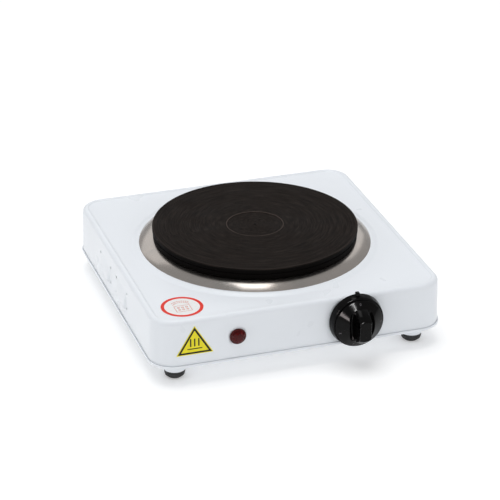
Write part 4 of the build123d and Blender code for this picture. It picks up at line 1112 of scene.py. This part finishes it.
def make_floor():
    """A plain pale floor, which glows a little so that shadows stay soft."""
    mesh = bpy.data.meshes.new("floor")
    signs = ((-1, -1), (1, -1), (1, 1), (-1, 1))
    corners = [(FLOOR_HALF * x, FLOOR_HALF * y, 0) for x, y in signs]
    mesh.from_pydata(corners, [], [(0, 1, 2, 3)])
    material, tree, shader = new_tree("floor_paper")
    grain = noise(tree, place_node(tree), 3, 2)
    paper = blend_colours(tree, grain, (0.84, 0.84, 0.84), (0.86, 0.86, 0.86))
    tree.links.new(paper, shader.inputs["Base Color"])
    shader.inputs["Roughness"].default_value = 0.9
    shader.inputs["Specular IOR Level"].default_value = 0.1
    shader.inputs["Emission Color"].default_value = (1, 1, 1, 1)
    shader.inputs["Emission Strength"].default_value = 0.3
    mesh.materials.append(material)
    floor = bpy.data.objects.new("floor", mesh)
    bpy.context.scene.collection.objects.link(floor)


WHITE = (1, 1, 1)
ROSE = (1.0, 0.9, 0.89)


def softbox(name, azimuth, elevation, size, power, colour=WHITE, fills=True, glints=True, only=()):
    """A rectangular light that looks at the plate from a bearing and a height, both in degrees.

    It can be left out of the diffuse light or of the reflections, and can light some pieces only.
    """
    bearing, rise = math.radians(azimuth), math.radians(elevation)
    aim = Vector((math.sin(bearing) * math.cos(rise), -math.cos(bearing) * math.cos(rise), math.sin(rise)))
    data = bpy.data.lights.new(name, "AREA")
    data.shape = "RECTANGLE"
    data.size, data.size_y = size
    data.energy = power
    data.color = colour
    light = bpy.data.objects.new(name, data)
    light.location = PLATE_AXIS + Vector((0, 0, PLATE_TOP)) + aim * LIGHT_DISTANCE
    light.rotation_euler = aim.to_track_quat("Z", "Y").to_euler()
    light.visible_diffuse = fills
    light.visible_glossy = glints
    bpy.context.scene.collection.objects.link(light)
    if only:
        lit = bpy.data.collections.new(name + "_lit")
        for piece in only:
            lit.objects.link(piece)
        light.light_linking.receiver_collection = lit


def light_studio():
    """A pale room, wide fills above, in front, on the left and behind, and small lights seen as glints."""
    world = bpy.data.worlds.new("room")
    world.use_nodes = True
    world.node_tree.nodes["Background"].inputs["Color"].default_value = (0.97, 0.985, 1.0, 1)
    world.node_tree.nodes["Background"].inputs["Strength"].default_value = 0.36
    bpy.context.scene.world = world
    softbox("overhead", -150, 84, (1.6, 1.4), 20, glints=False)
    softbox("front_fill", 18, 24, (1.1, 0.8), 3.5, glints=False)
    softbox("left_fill", -85, 14, (1.1, 0.8), 3, glints=False)
    softbox("back_fill", 172, 30, (2.2, 0.9), 2.5)
    softbox("ring_glint", 165, 76, (0.42, 1.1), 3, fills=False)
    black_parts = [frame["nodes"]["knob"], bpy.data.objects["gloss_bezel"]]
    softbox("knob_window", -7, 44, (0.42, 0.3), 30, fills=False, only=black_parts)
    softbox("left_window", -44.5, 13.6, (0.5, 0.4), 17, ROSE, fills=False, only=black_parts)
    bpy.context.scene.view_settings.view_transform = "Standard"


make_floor()
light_studio()
